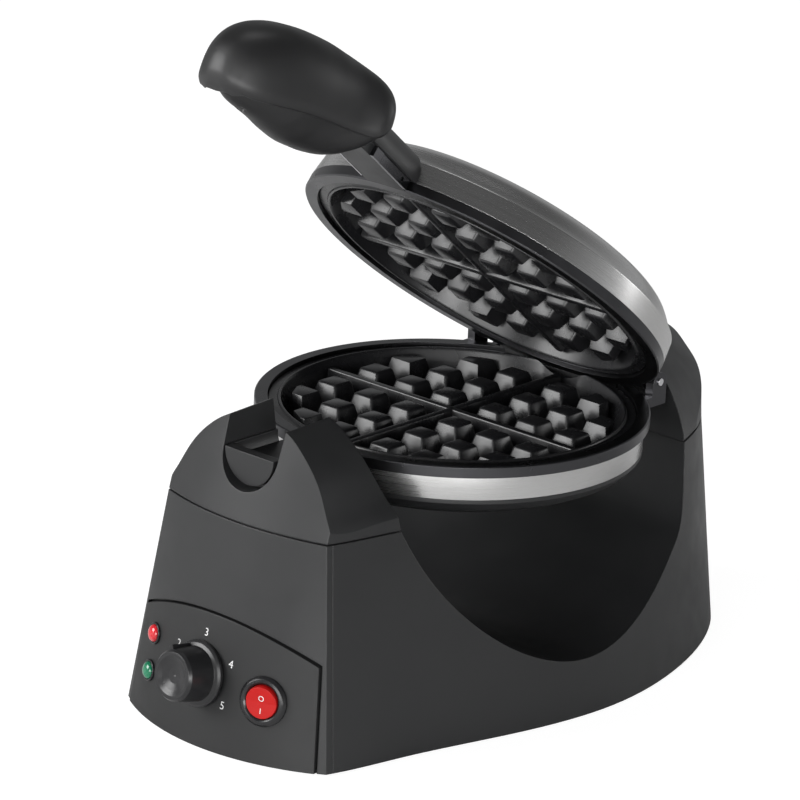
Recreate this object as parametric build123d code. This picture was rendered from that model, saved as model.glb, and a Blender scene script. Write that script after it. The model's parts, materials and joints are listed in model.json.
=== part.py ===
from build123d import *
from math import cos, hypot, pi, radians, sin, sqrt
import os

# Flip waffle maker, all sizes in millimetres.
# X runs across the front, Y runs front to back (front is -Y), Z is up.
# The origin is on the table under the middle of the round cooking plates.
# The lid is drawn shut and then turned to the open position it rests in.

# Overall sizes
PAN_R = 104.0
RIM_Z = 145.0
AXIS_Z = 151.0
SEAM_Z = 117.0
TOWER_TOP_Z = 169.0
BASE_HALF_W = 107.5
BASE_MID_Y = 15.0
BASE_REAR_Y = 186.0
FRONT_CORNER_X = 70.0
FRONT_CORNER_Y = -164.5
FRONT_APEX_Y = -186.0
SEAM_CORNER_X = 55.0
SEAM_CORNER_Y = -155.0
SEAM_APEX_Y = -164.5
SIDE_LEAN = 17.0
REAR_LEAN = 14.0
TOP_APEX_Y = -150.0
WALL = 2.6
BASE_Z = 1.2
FOOT_H = 2.0
FOOT_R = 8.0
REST_PAD_R = 7.0
COVER_T = 2.0
COVER_GAP = 0.3
SKIN_GAP = 0.15
BOSS_R = 4.5
SCREW_R = 1.6
SEAM_GAP = 0.9
SEAM_DEPTH = 1.2

# Valley between the two towers, in the side view
VALLEY_FRONT_Y = -111.0
VALLEY_REAR_Y = 106.5
VALLEY_BOTTOM_Z = 31.0
VALLEY_MID_Y = 4.0
VALLEY_TOP_FRONT_Y = -118.0

# Lid hinge and opening
HINGE_Y = 92.0
HINGE_Z = 152.0
OPEN_DEG = 40.5
EAR_R = 5.2
EAR_T = 5.0
EAR_X = 60.0
REAR_CUT_X = 47.0
LID_EAR_X = 53.5
PIN_R = 2.0
PIN_GAP = 0.04

# Lower and upper pan halves
RING_H = 6.0
RING_W = 7.0
BAND_H = 13.0
BAND_R = 101.0
SHEET_T = 1.0
SHELL_T = 2.2
LIP_GAP = 0.3
PLATE_RECESS_R = 89.0
PLATE_RIM_DROP = 2.0
PLATE_DEPTH = 16.0
PLATE_FLOOR_T = 5.0
BAR_W = 7.0
BAR_DROP = 4.0
STUD_PITCH = 26.0
STUD_BASE = 20.0
STUD_TOP = 13.0
STUD_DROP = 3.0
HEATER_R = 60.0
HEATER_TUBE_R = 3.3
LOWER_SHELL_BOTTOM = 36.0
SCREW_RING_R = 40.0
SCREW_ANGLES = (45, 165, 285)
DOME_BAND_H = 18.0
DOME_SHOULDER_R = 103.0
DOME_FLAT_R = 58.0
DOME_FLAT_H = 36.0
DOME_TOP_H = 41.0
DOME_SHEET = 1.2

# Front journal and rear trunnion
JOURNAL_R = 16.7
JOURNAL_GAP = 0.1
LINER_T = 1.8
TROUGH_T = 2.4
ARM_END_Y = -155.0
FLANGE_T = 6.0
ARM_FLAT_X = 13.0
NOTCH_TOP_X = 19.5
TRUNNION_R = 9.0
TRUNNION_GAP = 0.05
BUSH_T = 2.4
BAY_R = 44.0
BAY_Y = 117.0
TRUNNION_END_Y = 143.0
BUSH_L = 22.0

# Handle, measured along its own axis from its root
HANDLE_DROOP = 17.2
HANDLE_ROOT_Y = -164.0
HANDLE_ROOT_Z = 144.45
HANDLE_SCREWS = (12.0, 22.0, 68.0)
HANDLE_WALL = 3.0
GRIP_SEAT = 4.0
TONGUE_X = 9.0

# Controls on the front panel
PANEL_T = 3.0
PANEL_PROUD = 0.8
PANEL_TOP_Z = 69.2
PANEL_SIDE_Z = 55.4
PANEL_SIDE_X = 60.0
PANEL_FOOT_X = 65.5
GROOVE = 0.9
DIAL_X = -5.0
DIAL_Z = 37.5
KNOB_R = 13.3
KNOB_SKIRT_R = 17.2
KNOB_H = 20.0
POINTER_DEG = 28.0
SWITCH_X = 35.5
SWITCH_Z = 33.5
SWITCH_R = 13.0
SWITCH_HOLE_R = 9.1
SWITCH_CAN_R = 9.9
LAMP_X = -46.0
RED_Z = 44.5
GREEN_Z = 25.0
LAMP_R = 4.2

# Handle stations: distance along the handle, half width, underside and top heights.
# Keel stations: distance along the handle, half width and depth of the grip under it.
HANDLE_STATIONS = (
    (0, 40.5, 1.0, 33.3), (2, 39.4, 0.0, 33.8), (6, 37.2, -1.0, 34.9), (11, 34.8, -2.0, 36.3),
    (20, 32.6, -2.5, 38.4), (33, 31.6, -2.5, 40.4), (47, 30.1, -2.0, 41.0), (58, 28.1, -1.2, 40.3),
    (69, 25.0, -0.5, 38.1), (78.6, 21.0, 0.0, 34.4), (85, 16.8, 0.7, 30.0), (89.8, 12.1, 2.2, 24.8),
    (92.4, 7.6, 5.0, 19.8), (93.6, 4.0, 8.0, 15.5),
)
KEEL_STATIONS = (
    (5, 15.0, 14.0), (15, 18.5, 15.2), (30, 18.5, 14.9), (45, 17.0, 11.9), (58, 14.3, 8.2), (70, 11.0, 6.3),
    (80, 7.0, 4.7), (86, 3.5, 3.2),
)
OPEN = Pos(0, HINGE_Y, HINGE_Z) * Rot(-OPEN_DEG, 0, 0) * Pos(0, -HINGE_Y, -HINGE_Z)

os.makedirs("parts", exist_ok=True)


def save(name, shape):
    """Write one named piece, as a compound of its solids, to its own file."""
    solids = list(shape.solids())
    export_step(Compound(children=solids) if len(solids) > 1 else solids[0], f"parts/{name}.step")


def box(x0, x1, y0, y1, z0, z1):
    """A box from its two corners."""
    return Pos((x0 + x1) / 2, (y0 + y1) / 2, (z0 + z1) / 2) * Box(x1 - x0, y1 - y0, z1 - z0)


def spin(points):
    """Revolve a closed outline of (radius, height) points about the Z axis."""
    face = Plane.XZ * make_face(Polyline(*points, close=True))
    return revolve(face, axis=Axis.Z)


def rod(x, y, z, r, length, axis):
    """A cylinder that starts at a point and runs along +X, +Y or +Z."""
    turn = {"x": Rot(0, 90, 0), "y": Rot(-90, 0, 0), "z": Rot(0, 0, 0)}[axis]
    return Pos(x, y, z) * turn * Pos(0, 0, length / 2) * Cylinder(r, length)


def share(z):
    """How far up the body a height is: 0 at the table, 1 at the seam."""
    return z / SEAM_Z


def front_numbers(z):
    """Half width, corner y and apex y of the curved front at a height."""
    t = share(z)
    if t <= 1:
        half = FRONT_CORNER_X + (SEAM_CORNER_X - FRONT_CORNER_X) * t
        corner = FRONT_CORNER_Y + (SEAM_CORNER_Y - FRONT_CORNER_Y) * t
        apex = FRONT_APEX_Y + (SEAM_APEX_Y - FRONT_APEX_Y) * t
        return half, corner, apex
    back = (TOP_APEX_Y - SEAM_APEX_Y) * (z - SEAM_Z) / (TOWER_TOP_Z - SEAM_Z)
    return SEAM_CORNER_X, SEAM_CORNER_Y + back, SEAM_APEX_Y + back


def front_y(x, z):
    """The y of the curved front face at a place across and up it."""
    half, corner, apex = front_numbers(z)
    rise = corner - apex
    r = (half * half + rise * rise) / (2 * rise)
    return apex + r - sqrt(r * r - x * x)


def front_plane(x, z):
    """A plane on the front face: its z axis points out, its x axis runs across."""
    step = 0.5
    here = Vector(x, front_y(x, z), z)
    across = (Vector(x + step, front_y(x + step, z), z) - here).normalized()
    up = (Vector(x, front_y(x, z + step), z + step) - here).normalized()
    return Plane(origin=here, x_dir=across, z_dir=across.cross(up))


def outline(z, inset=0.0):
    """The plan outline of the body at a height, as a closed wire."""
    t = share(z)
    half, corner, apex = front_numbers(z)
    half = half - inset
    corner = corner + inset
    apex = apex + inset
    lean = SIDE_LEAN * t + inset
    rear = BASE_REAR_Y - REAR_LEAN * t - inset
    right = [
        (FRONT_CORNER_X + 11.5 - lean, FRONT_CORNER_Y + 49.5),
        (BASE_HALF_W - 9.5 - lean, BASE_MID_Y - 67.0),
        (BASE_HALF_W - lean, BASE_MID_Y),
        (BASE_HALF_W - 10.0 - lean, BASE_MID_Y + 66.0),
        (BASE_HALF_W - 37.5 - 0.7 * lean, BASE_REAR_Y - 42.0 - 0.4 * (REAR_LEAN * t + inset)),
    ]
    left = [(-x, y) for x, y in reversed(right)]
    start = (half, corner)
    end = (-half, corner)
    side_r = Spline(start, *right, (0, rear), tangents=[(0.35, 1.0), (-1.0, 0.0)])
    side_l = Spline((0, rear), *left, end, tangents=[(-1.0, 0.0), (0.35, -1.0)])
    front = ThreePointArc(end, (0, apex), start)
    return Pos(0, 0, z) * Wire([front.edge(), side_r.edge(), side_l.edge()])


def body(z0, z1, inset=0.0):
    """The leaning body between two heights."""
    return loft([Face(outline(z0, inset)), Face(outline(z1, inset))], ruled=True)


def valley(grow=0.0):
    """The U shaped space between the towers, as a prism across the body."""
    top = TOWER_TOP_Z + 40
    f = VALLEY_FRONT_Y - grow
    r = VALLEY_REAR_Y + grow
    b = VALLEY_BOTTOM_Z - grow
    lean = (VALLEY_TOP_FRONT_Y - VALLEY_FRONT_Y) * (top - SEAM_Z) / (TOWER_TOP_Z - SEAM_Z)
    curve = Spline(
        (f, SEAM_Z), (VALLEY_FRONT_Y + 33 - 0.8 * grow, 68 - 0.5 * grow), (VALLEY_MID_Y, b),
        (VALLEY_REAR_Y - 21 + 0.8 * grow, 66 - 0.5 * grow), (r, SEAM_Z),
        tangents=[(0.45, -1.0), (0.12, 1.0)],
    )
    rest = Polyline((r, SEAM_Z), (r, top), (f + lean, top), (f, SEAM_Z))
    face = make_face(Wire(curve.edges() + rest.edges()))
    return extrude(Plane.YZ * face, amount=BASE_HALF_W + 20, both=True)


def front_block(back):
    """Everything in front of the front face moved back by a distance."""
    faces = []
    for z in (BASE_Z - 1, SEAM_Z + 1):
        half, corner, apex = front_numbers(min(z, SEAM_Z))
        wide = half + 8
        y = front_y(wide, min(z, SEAM_Z)) + back
        arc = ThreePointArc((-wide, y), (0, apex + back), (wide, y))
        far = Polyline((wide, y), (wide, -260), (-wide, -260), (-wide, y))
        faces.append(Pos(0, 0, z) * make_face(Wire(arc.edges() + far.edges())))
    return loft(faces, ruled=True)


def tower_section(y, points, inset=0.0):
    """A closed front view outline of a tower cap at one place along the body."""
    pts = [(max(x - inset, 1.0), z - (inset if z > SEAM_Z + 1 else 0)) for x, z in points]
    pts = [(pts[0][0], SEAM_Z - 1)] + pts[1:]
    right = Spline(*pts, tangents=[(-0.1, 1.0), (-1.0, 0.12)])
    left = Spline(*[(-x, z) for x, z in reversed(pts)], tangents=[(-1.0, -0.12), (-0.1, -1.0)])
    top = Line(pts[-1], (-pts[-1][0], pts[-1][1]))
    foot = Line((-pts[0][0], pts[0][1]), pts[0])
    face = make_face(Wire(right.edges() + top.edges() + left.edges() + foot.edges()))
    return Plane(origin=(0, y, 0), x_dir=(1, 0, 0), z_dir=(0, -1, 0)) * face


FRONT_SECTIONS = [
    (-172, [(52.5, SEAM_Z), (48.5, 130), (43.0, 143), (30.0, 158), (8.0, 168.5)]),
    (-104, [(69.0, SEAM_Z), (59.0, 131), (46.5, 146), (33.0, 160), (8.0, 170.5)]),
]
REAR_SECTIONS = [
    (100, [(75.5, SEAM_Z), (71.0, 131), (63.0, 144), (49.0, 157), (10.0, 170.0)]),
    (138, [(60.0, SEAM_Z), (54.5, 130), (46.0, 143), (32.0, 156), (8.0, 168.0)]),
    (180, [(42.0, SEAM_Z), (36.0, 126), (28.0, 134), (17.0, 141), (5.0, 146.0)]),
]


def tower(sections, inset=0.0):
    """A tower above the seam, solid, from its front view sections."""
    hull = loft([tower_section(y, pts, inset) for y, pts in sections])
    lean_body = body(SEAM_Z - 0.5 if inset else SEAM_Z, TOWER_TOP_Z + 5, inset)
    return lean_body & hull


def seam_cut():
    """The shallow groove round the body just above the seam."""
    slab = body(SEAM_Z, SEAM_Z + SEAM_GAP, -2.0)
    return slab - body(SEAM_Z - 1, SEAM_Z + SEAM_GAP + 1, SEAM_DEPTH)


def notch(grow, y0, y1):
    """The open topped round seat for the front journal, as a prism along Y."""
    r = JOURNAL_R + JOURNAL_GAP + LINER_T + grow
    top = NOTCH_TOP_X + grow
    high = TOWER_TOP_Z + 12
    arc = ThreePointArc((-r, AXIS_Z), (0, AXIS_Z - r), (r, AXIS_Z))
    rest = Polyline((r, AXIS_Z), (top, TOWER_TOP_Z), (top, high), (-top, high), (-top, TOWER_TOP_Z),
                    (-r, AXIS_Z))
    face = make_face(Wire(arc.edges() + rest.edges()))
    return extrude(Plane(origin=(0, y1, 0), x_dir=(1, 0, 0), z_dir=(0, -1, 0)) * face, amount=y1 - y0)


def bay(grow):
    """The round recess in the rear tower that the open lid swings into."""
    return rod(0, VALLEY_REAR_Y - 12, AXIS_Z, BAY_R + grow, BAY_Y + grow - VALLEY_REAR_Y + 12, "y")


def panel_prism(grow):
    """The outline of the control panel seen from the front, as a prism along Y."""
    side = PANEL_SIDE_X + grow
    foot = PANEL_FOOT_X + grow
    arc = ThreePointArc((-side, PANEL_SIDE_Z + grow), (0, PANEL_TOP_Z + grow), (side, PANEL_SIDE_Z + grow))
    rest = Polyline((side, PANEL_SIDE_Z + grow), (foot, -5), (-foot, -5), (-side, PANEL_SIDE_Z + grow))
    face = make_face(Wire(arc.edges() + rest.edges()))
    return extrude(Plane(origin=(0, -130, 0), x_dir=(1, 0, 0), z_dir=(0, -1, 0)) * face, amount=70)


def foot_places():
    """The four places under the base where a foot sits."""
    return [(x, y) for x in (-62.0, 62.0) for y in (-118.0, 118.0)]


def boss_places():
    """The screw bosses inside the base, under the valley floor."""
    return [(x, y) for x in (-66.0, 66.0) for y in (VALLEY_MID_Y - 34.0, VALLEY_MID_Y + 34.0)]


def make_housing():
    """The leaning lower housing, open underneath and under the tower caps."""
    skin = body(BASE_Z, SEAM_Z) - front_block(PANEL_T) - valley()
    hollow = body(BASE_Z - 1, SEAM_Z + 1, WALL) - valley(WALL) - front_block(PANEL_T + WALL) - bay(WALL)
    housing = skin - hollow - bay(0)
    window = box(-PANEL_FOOT_X + 10, PANEL_FOOT_X - 10, -200, -140, 12, PANEL_SIDE_Z - 4)
    housing = housing - window
    for x, y in boss_places():
        boss = rod(x, y, BASE_Z + COVER_T + 1, BOSS_R, 60, "z") - valley(0.5)
        housing = housing + boss - rod(x, y, 0, SCREW_R, 18, "z")
    gland = rod(0, BASE_REAR_Y - 25, 18, 6.6, 40, "y")
    return housing - gland


def make_fascia():
    """The plain upper front face with the strips beside the control panel."""
    return (body(BASE_Z, SEAM_Z) & front_block(PANEL_T - SKIN_GAP)) - panel_prism(GROOVE)


def control_places():
    """Planes on the front face for the knob, the switch and the two lamps."""
    return {
        "knob": front_plane(DIAL_X, DIAL_Z),
        "switch": front_plane(SWITCH_X, SWITCH_Z),
        "red": front_plane(LAMP_X, RED_Z),
        "green": front_plane(LAMP_X, GREEN_Z),
    }


def make_panel():
    """The proud control panel with its four openings."""
    panel = (front_block(PANEL_T - SKIN_GAP) - front_block(-PANEL_PROUD)) & panel_prism(0)
    panel = panel & box(-90, 90, -200, -100, BASE_Z, SEAM_Z)
    places = control_places()
    holes = {"knob": 3.6, "switch": 10.1, "red": LAMP_R + 0.05, "green": LAMP_R + 0.05}
    for name, r in holes.items():
        panel = panel - places[name] * Cylinder(r, 30)
    return panel


def make_front_cap():
    """The front tower cap with its two horns and the trough between them."""
    outer = tower(FRONT_SECTIONS) - valley()
    inner = tower(FRONT_SECTIONS, WALL) - valley(WALL) - notch(TROUGH_T, -175, -100)
    return outer - inner - notch(0, -175, -100) - seam_cut()


def make_liner():
    """The half round bearing liner in the front trough."""
    r = JOURNAL_R + JOURNAL_GAP
    tube = rod(0, -150, AXIS_Z, r + LINER_T - 0.1, 34, "y") - rod(0, -151, AXIS_Z, r, 36, "y")
    return tube & box(-30, 30, -160, -100, AXIS_Z - 30, AXIS_Z)


def make_rear_cap():
    """The rear tower cap with its round bay and the bearing boss behind it."""
    outer = tower(REAR_SECTIONS) - valley()
    inner = tower(REAR_SECTIONS, WALL) - valley(WALL) - bay(WALL)
    bore = TRUNNION_R + TRUNNION_GAP + BUSH_T
    boss = rod(0, BAY_Y, AXIS_Z, bore + 3.5, BUSH_L + 1, "y") & outer
    cap = (outer - inner - bay(0)) + (boss - bay(0))
    return cap - rod(0, BAY_Y - 5, AXIS_Z, bore, BUSH_L + 7, "y") - seam_cut()


def make_bush():
    """The plain bearing bush that the rear trunnion turns in."""
    bore = TRUNNION_R + TRUNNION_GAP
    bush = rod(0, BAY_Y + 0.5, AXIS_Z, bore + BUSH_T, BUSH_L, "y")
    return bush - rod(0, BAY_Y, AXIS_Z, bore, BUSH_L + 2, "y")


def make_cover():
    """The flat plate that closes the base from below."""
    z0 = FOOT_H
    plate = body(z0, z0 + COVER_T, WALL + COVER_GAP) - front_block(PANEL_T + WALL + COVER_GAP)
    for x, y in foot_places():
        plate = plate - rod(x, y, z0 - 1, 3.05, COVER_T + 2, "z")
    for x, y in boss_places():
        plate = plate - rod(x, y, z0 - 1, SCREW_R + 0.3, COVER_T + 2, "z")
    slots = [box(-22, 22, y - 1.5, y + 1.5, z0 - 1, z0 + COVER_T + 1) for y in range(24, 73, 8)]
    pad = rod(0, 0, 0, REST_PAD_R, z0, "z")
    return plate - Compound(children=slots) + pad


def make_feet():
    """Four rubber feet, each pressed into the bottom cover by its stem."""
    feet = []
    for x, y in foot_places():
        pad = rod(x, y, 0, FOOT_R, FOOT_H, "z")
        stem = rod(x, y, FOOT_H, 3.0, COVER_T, "z")
        barb = Pos(x, y, FOOT_H + COVER_T + 1) * Cone(3.6, 2.2, 2.0)
        feet.append(pad + stem + barb)
    return Compound(children=feet)


def make_base_screws():
    """Screws that hold the bottom cover to the bosses."""
    screws = []
    for x, y in boss_places():
        head = rod(x, y, FOOT_H - 1.3, 3.0, 1.3, "z")
        shank = rod(x, y, FOOT_H, SCREW_R - 0.05, 14, "z")
        slot = box(x - 2.2, x + 2.2, y - 0.4, y + 0.4, FOOT_H - 1.4, FOOT_H - 0.7)
        cross = box(x - 0.4, x + 0.4, y - 2.2, y + 2.2, FOOT_H - 1.4, FOOT_H - 0.7)
        screws.append(head + shank - slot - cross)
    return Compound(children=screws)


def make_thermostat():
    """The body of the browning control behind the panel."""
    place = control_places()["knob"]
    plate = place * (Pos(0, 0, -PANEL_T - 1.0) * Box(32, 24, 2.0))
    plate = plate - front_block(PANEL_T)
    can = place * (Pos(0, 0, -PANEL_T - 11.9) * Box(26, 22, 20))
    neck = place * (Pos(0, 0, -PANEL_T + 0.9) * Cylinder(3.5, 3.2))
    tabs = [place * (Pos(x, 0, -PANEL_T - 24.4) * Box(0.8, 6.3, 6)) for x in (-8, 8)]
    bore = place * Cylinder(3.05, 30)
    return plate + can + neck + tabs[0] + tabs[1] - bore


def make_thermostat_shaft():
    """The flatted shaft that the knob turns."""
    place = control_places()["knob"]
    shaft = place * (Pos(0, 0, 1) * Cylinder(3.0, 26))
    flat = place * (Rot(0, 0, POINTER_DEG) * (Pos(0, 6.1, 8.5) * Box(10, 8, 16)))
    return shaft - flat


def make_knob():
    """The dial knob: a skirt, a tall drum with a dished face and a pointer rib."""
    gap = PANEL_PROUD + 0.3
    top = gap + KNOB_H
    dish = KNOB_R - 3.0
    knob = spin([(0, gap), (KNOB_SKIRT_R - 0.6, gap), (KNOB_SKIRT_R, gap + 0.8), (KNOB_SKIRT_R, gap + 2.2),
                 (KNOB_SKIRT_R - 1.2, gap + 3.2), (KNOB_R + 0.9, gap + 3.8), (KNOB_R, top - 1.6),
                 (KNOB_R - 1.2, top), (dish, top), (dish * 0.75, top - 1.1), (dish * 0.4, top - 2.1),
                 (0, top - 2.5)])
    rib = Pos(0, KNOB_SKIRT_R - 3.4, gap + 9.5) * Box(2.4, 3.6, 14.0)
    knob = knob + rib
    socket = Pos(0, 0, gap + 6.5) * Cylinder(3.05, 15)
    flat = Pos(0, 6.15, gap + 7.2) * Box(10, 8, 15)
    knob = knob - (socket - flat)
    return control_places()["knob"] * (Rot(0, 0, POINTER_DEG) * knob)


def make_switch():
    """The round switch body with its bezel and blade terminals."""
    top = PANEL_PROUD
    r = SWITCH_HOLE_R
    bezel = Pos(0, 0, top) * spin([(r, 0), (SWITCH_CAN_R, 0), (SWITCH_CAN_R, -1.2), (SWITCH_R, -1.2),
                                   (SWITCH_R, 1.2), (SWITCH_R - 1.4, 2.6), (r + 1.0, 2.9), (r, 2.2)])
    can = Pos(0, 0, top) * spin([(0, -21), (SWITCH_CAN_R, -21), (SWITCH_CAN_R, 0), (r, 0), (r, -9.5),
                                 (0, -9.5)])
    blades = [Pos(0, y, top - 24.5) * Box(4.8, 0.8, 7) for y in (-5.5, 0, 5.5)]
    switch = bezel + can
    for blade in blades:
        switch = switch + blade
    return control_places()["switch"] * switch - make_panel()


def rocker_pivot():
    """The height of the rocker's pivot over the front face."""
    return PANEL_PROUD + 0.6


def make_rocker():
    """The red rocker, a rounded button with two sloping halves."""
    ball = SWITCH_HOLE_R - 0.25
    button = Sphere(ball) & Pos(0, 0, -1.2) * Cylinder(ball - 0.15, 11.0)
    for side in (-1, 1):
        cut = Pos(0, 0, 2.3) * Rot(side * 7, 0, 0) * Pos(0, side * 10, 5) * Box(40, 20, 10)
        button = button - cut
    button = button & Pos(0, 0, 1.5) * Box(40, 40, 17)
    tilt = Rot(7, 0, 0)
    return control_places()["switch"] * (Pos(0, 0, rocker_pivot()) * tilt * button)


def make_lamp(name):
    """A domed lamp lens with its stem through the panel."""
    top = PANEL_PROUD
    step = top - PANEL_T
    lens = spin([(0, top - 9), (LAMP_R - 0.6, top - 9), (LAMP_R - 0.6, step - 0.6), (LAMP_R, step),
                 (LAMP_R, top + 0.4), (LAMP_R - 0.5, top + 1.2), (LAMP_R * 0.6, top + 1.8), (0, top + 2.0)])
    bore = Pos(0, 0, top - 7) * Cylinder(2.3, 5)
    return control_places()[name] * (lens - bore)


def make_neons():
    """The two small glow lamps that sit in the lenses."""
    lamps = []
    for name in ("red", "green"):
        bulb = Pos(0, 0, PANEL_PROUD - 11.5) * Cylinder(2.2, 13)
        lamps.append(control_places()[name] * bulb)
    return Compound(children=lamps)


def make_terminal_block():
    """The block where the supply meets the inner wiring."""
    z0 = FOOT_H + COVER_T
    block = box(-18, 18, 132, 150, z0, z0 + 14)
    for x in (-12, 0, 12):
        block = block - rod(x, 141, z0 + 6, 2.4, 10, "z") - rod(x, 130, z0 + 5, 2.0, 22, "y")
    return block


def make_gland():
    """The bush in the rear wall where a supply lead enters."""
    skin = body(BASE_Z, SEAM_Z)
    stem = rod(0, BASE_REAR_Y - 16, 18, 6.4, 17, "y")
    flange = rod(0, BASE_REAR_Y - 8, 18, 8.6, 9.5, "y") - skin
    inner = rod(0, BASE_REAR_Y - 16, 18, 8.6, 4, "y")
    return stem + flange + inner - rod(0, BASE_REAR_Y - 30, 18, 3.6, 50, "y")


def cut_rear(shape):
    """Take away the rear sector of a lower ring that the open lid drops into."""
    return shape - box(-REAR_CUT_X, REAR_CUT_X, HINGE_Y - 3.5, PAN_R + 2, RIM_Z - RING_H - 0.1, RIM_Z + 5)


def make_lower_ring():
    """The grey rim ring of the lower half, with its two hinge ears."""
    z = RIM_Z
    ring = spin([(PAN_R - 0.6, z), (PAN_R, z - 0.6), (PAN_R, z - RING_H), (93, z - RING_H), (93, z - 4),
                 (PAN_R - RING_W, z - 4), (PAN_R - RING_W, z)])
    ring = cut_rear(ring)
    for side in (-1, 1):
        x0 = EAR_X if side > 0 else -EAR_X - EAR_T
        ear = rod(x0, HINGE_Y, HINGE_Z, EAR_R, EAR_T, "x")
        post = box(x0, x0 + EAR_T, HINGE_Y - 5.6, HINGE_Y + 5.6, z - RING_H, HINGE_Z)
        web = box(x0, x0 + EAR_T, 80, HINGE_Y, z - RING_H, z - 0.6) - Pos(0, 0, z) * Cylinder(PAN_R - 2, 40)
        ring = ring + ear + post + web - rod(x0 - 1, HINGE_Y, HINGE_Z, PIN_R + PIN_GAP, EAR_T + 2, "x")
    return ring


def make_lower_band():
    """The brushed steel band round the lower half."""
    z = RIM_Z - RING_H
    return spin([(BAND_R - SHEET_T, z - BAND_H), (BAND_R, z - BAND_H), (BAND_R, z), (BAND_R - SHEET_T, z)])


def make_lower_shell():
    """The black heat resistant tray under the lower half."""
    z = RIM_Z
    low = z - LOWER_SHELL_BOTTOM
    r = BAND_R
    top = z - RING_H - BAND_H
    return spin([(r, top), (r, top - 2), (r - 4, top - 6.5), (88, low + 6), (60, low), (0, low),
                 (0, low + SHELL_T), (60, low + SHELL_T + 0.2), (87, low + 8.2), (r - 5.6, top - 4.7),
                 (r - 3.4, top - 1), (r - 3.4, z - RING_H), (r - SHEET_T - 0.1, z - RING_H),
                 (r - SHEET_T - 0.1, top)])


def plate_studs():
    """The tapered studs that press the pockets, with the two crossed bars."""
    floor = RIM_Z - PLATE_DEPTH
    top = RIM_Z - STUD_DROP
    reach = PLATE_RECESS_R - 5.0
    first = BAR_W / 2 + 3.0 + STUD_BASE / 2
    spots = []
    for i in range(3):
        for j in range(3):
            x = first + i * STUD_PITCH
            y = first + j * STUD_PITCH
            if hypot(x - STUD_BASE / 2, y - STUD_BASE / 2) < reach - 9:
                spots.append((x, y))
    low = Plane.XY.offset(floor - 0.5)
    high = Plane.XY.offset(top)
    stud = loft([low * Rectangle(STUD_BASE, STUD_BASE), high * Rectangle(STUD_TOP, STUD_TOP)])
    bound = Pos(0, 0, (floor + top) / 2) * Cone(reach - 0.5, reach + 2.0, top - floor + 4)
    studs = []
    for x, y in spots:
        for sx in (-1, 1):
            for sy in (-1, 1):
                piece = Pos(sx * x, sy * y, 0) * stud
                if hypot(x + STUD_BASE / 2, y + STUD_BASE / 2) > reach:
                    piece = piece & bound
                studs.append(piece)
    crest = PLATE_DEPTH - BAR_DROP
    ridge = Polyline((-BAR_W / 2, 0), (-BAR_W / 2 + 1.6, crest), (BAR_W / 2 - 1.6, crest), (BAR_W / 2, 0),
                     close=True)
    bar = extrude(Plane.YZ * make_face(ridge), amount=PLATE_RECESS_R - 2.5, both=True)
    bar = Pos(0, 0, floor - 0.01) * bar
    return studs, [bar, Rot(0, 0, 90) * bar]


def make_plate():
    """The lower cooking plate: dished casting, beaded rim, studs and crossed bars."""
    z = RIM_Z
    floor = z - PLATE_DEPTH
    rim = z - PLATE_RIM_DROP
    r = PLATE_RECESS_R
    edge = PAN_R - RING_W - 0.2
    under = floor - PLATE_FLOOR_T
    dish = spin([(0, under), (r - 1, under), (92.4, z - 6.5), (92.4, z - 4), (edge, z - 4), (edge, rim),
                 (r + 2.8, rim), (r + 2.3, rim + 1.2), (r + 1.2, rim + 1.2), (r + 0.6, rim), (r - 3, floor),
                 (0, floor)])
    studs, bars = plate_studs()
    return dish.fuse(*studs, *bars)


def make_heater():
    """The rod heater under the lower plate, an open loop with two ends."""
    z = RIM_Z - PLATE_DEPTH - PLATE_FLOOR_T - HEATER_TUBE_R
    circle = Plane.XZ * Pos(HEATER_R, z) * Circle(HEATER_TUBE_R)
    loop = Rot(0, 0, 110) * revolve(circle, axis=Axis.Z, revolution_arc=320)
    for angle in (110, 430):
        x = HEATER_R * cos(radians(angle))
        y = HEATER_R * sin(radians(angle))
        loop = loop + rod(x, y, z - HEATER_TUBE_R - 2.2, 2.2, HEATER_TUBE_R + 2, "z")
    return loop


def make_reflector():
    """The bright pressed tray that throws heat back at the lower plate."""
    z = RIM_Z - LOWER_SHELL_BOTTOM + SHELL_T + 1.6
    return spin([(0, z), (62, z), (68, z + 2.5), (68, z + 3.2), (61.7, z + 0.7), (0, z + 0.7)])


def make_standoffs():
    """Screws from the lower tray up through the reflector into the lower plate."""
    low = RIM_Z - LOWER_SHELL_BOTTOM
    top = RIM_Z - PLATE_DEPTH - PLATE_FLOOR_T
    rods = []
    for angle in SCREW_ANGLES:
        x = SCREW_RING_R * cos(radians(angle))
        y = SCREW_RING_R * sin(radians(angle))
        rods.append(rod(x, y, low - 1.2, 3.4, 1.2, "z") + rod(x, y, low, 1.7, top - low, "z"))
    return Compound(children=rods)


def drill_standoffs(shape):
    """Holes for the plate screws."""
    low = RIM_Z - LOWER_SHELL_BOTTOM
    for angle in SCREW_ANGLES:
        x = SCREW_RING_R * cos(radians(angle))
        y = SCREW_RING_R * sin(radians(angle))
        shape = shape - rod(x, y, low - 3, 1.75, 14, "z")
    return shape


def make_sensor():
    """The bimetal switch clipped under the lower plate."""
    top = RIM_Z - PLATE_DEPTH - PLATE_FLOOR_T
    return rod(0, 0, top - 8, 8.0, 8, "z") + box(-1.5, 1.5, -14, 14, top - 1, top)


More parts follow.
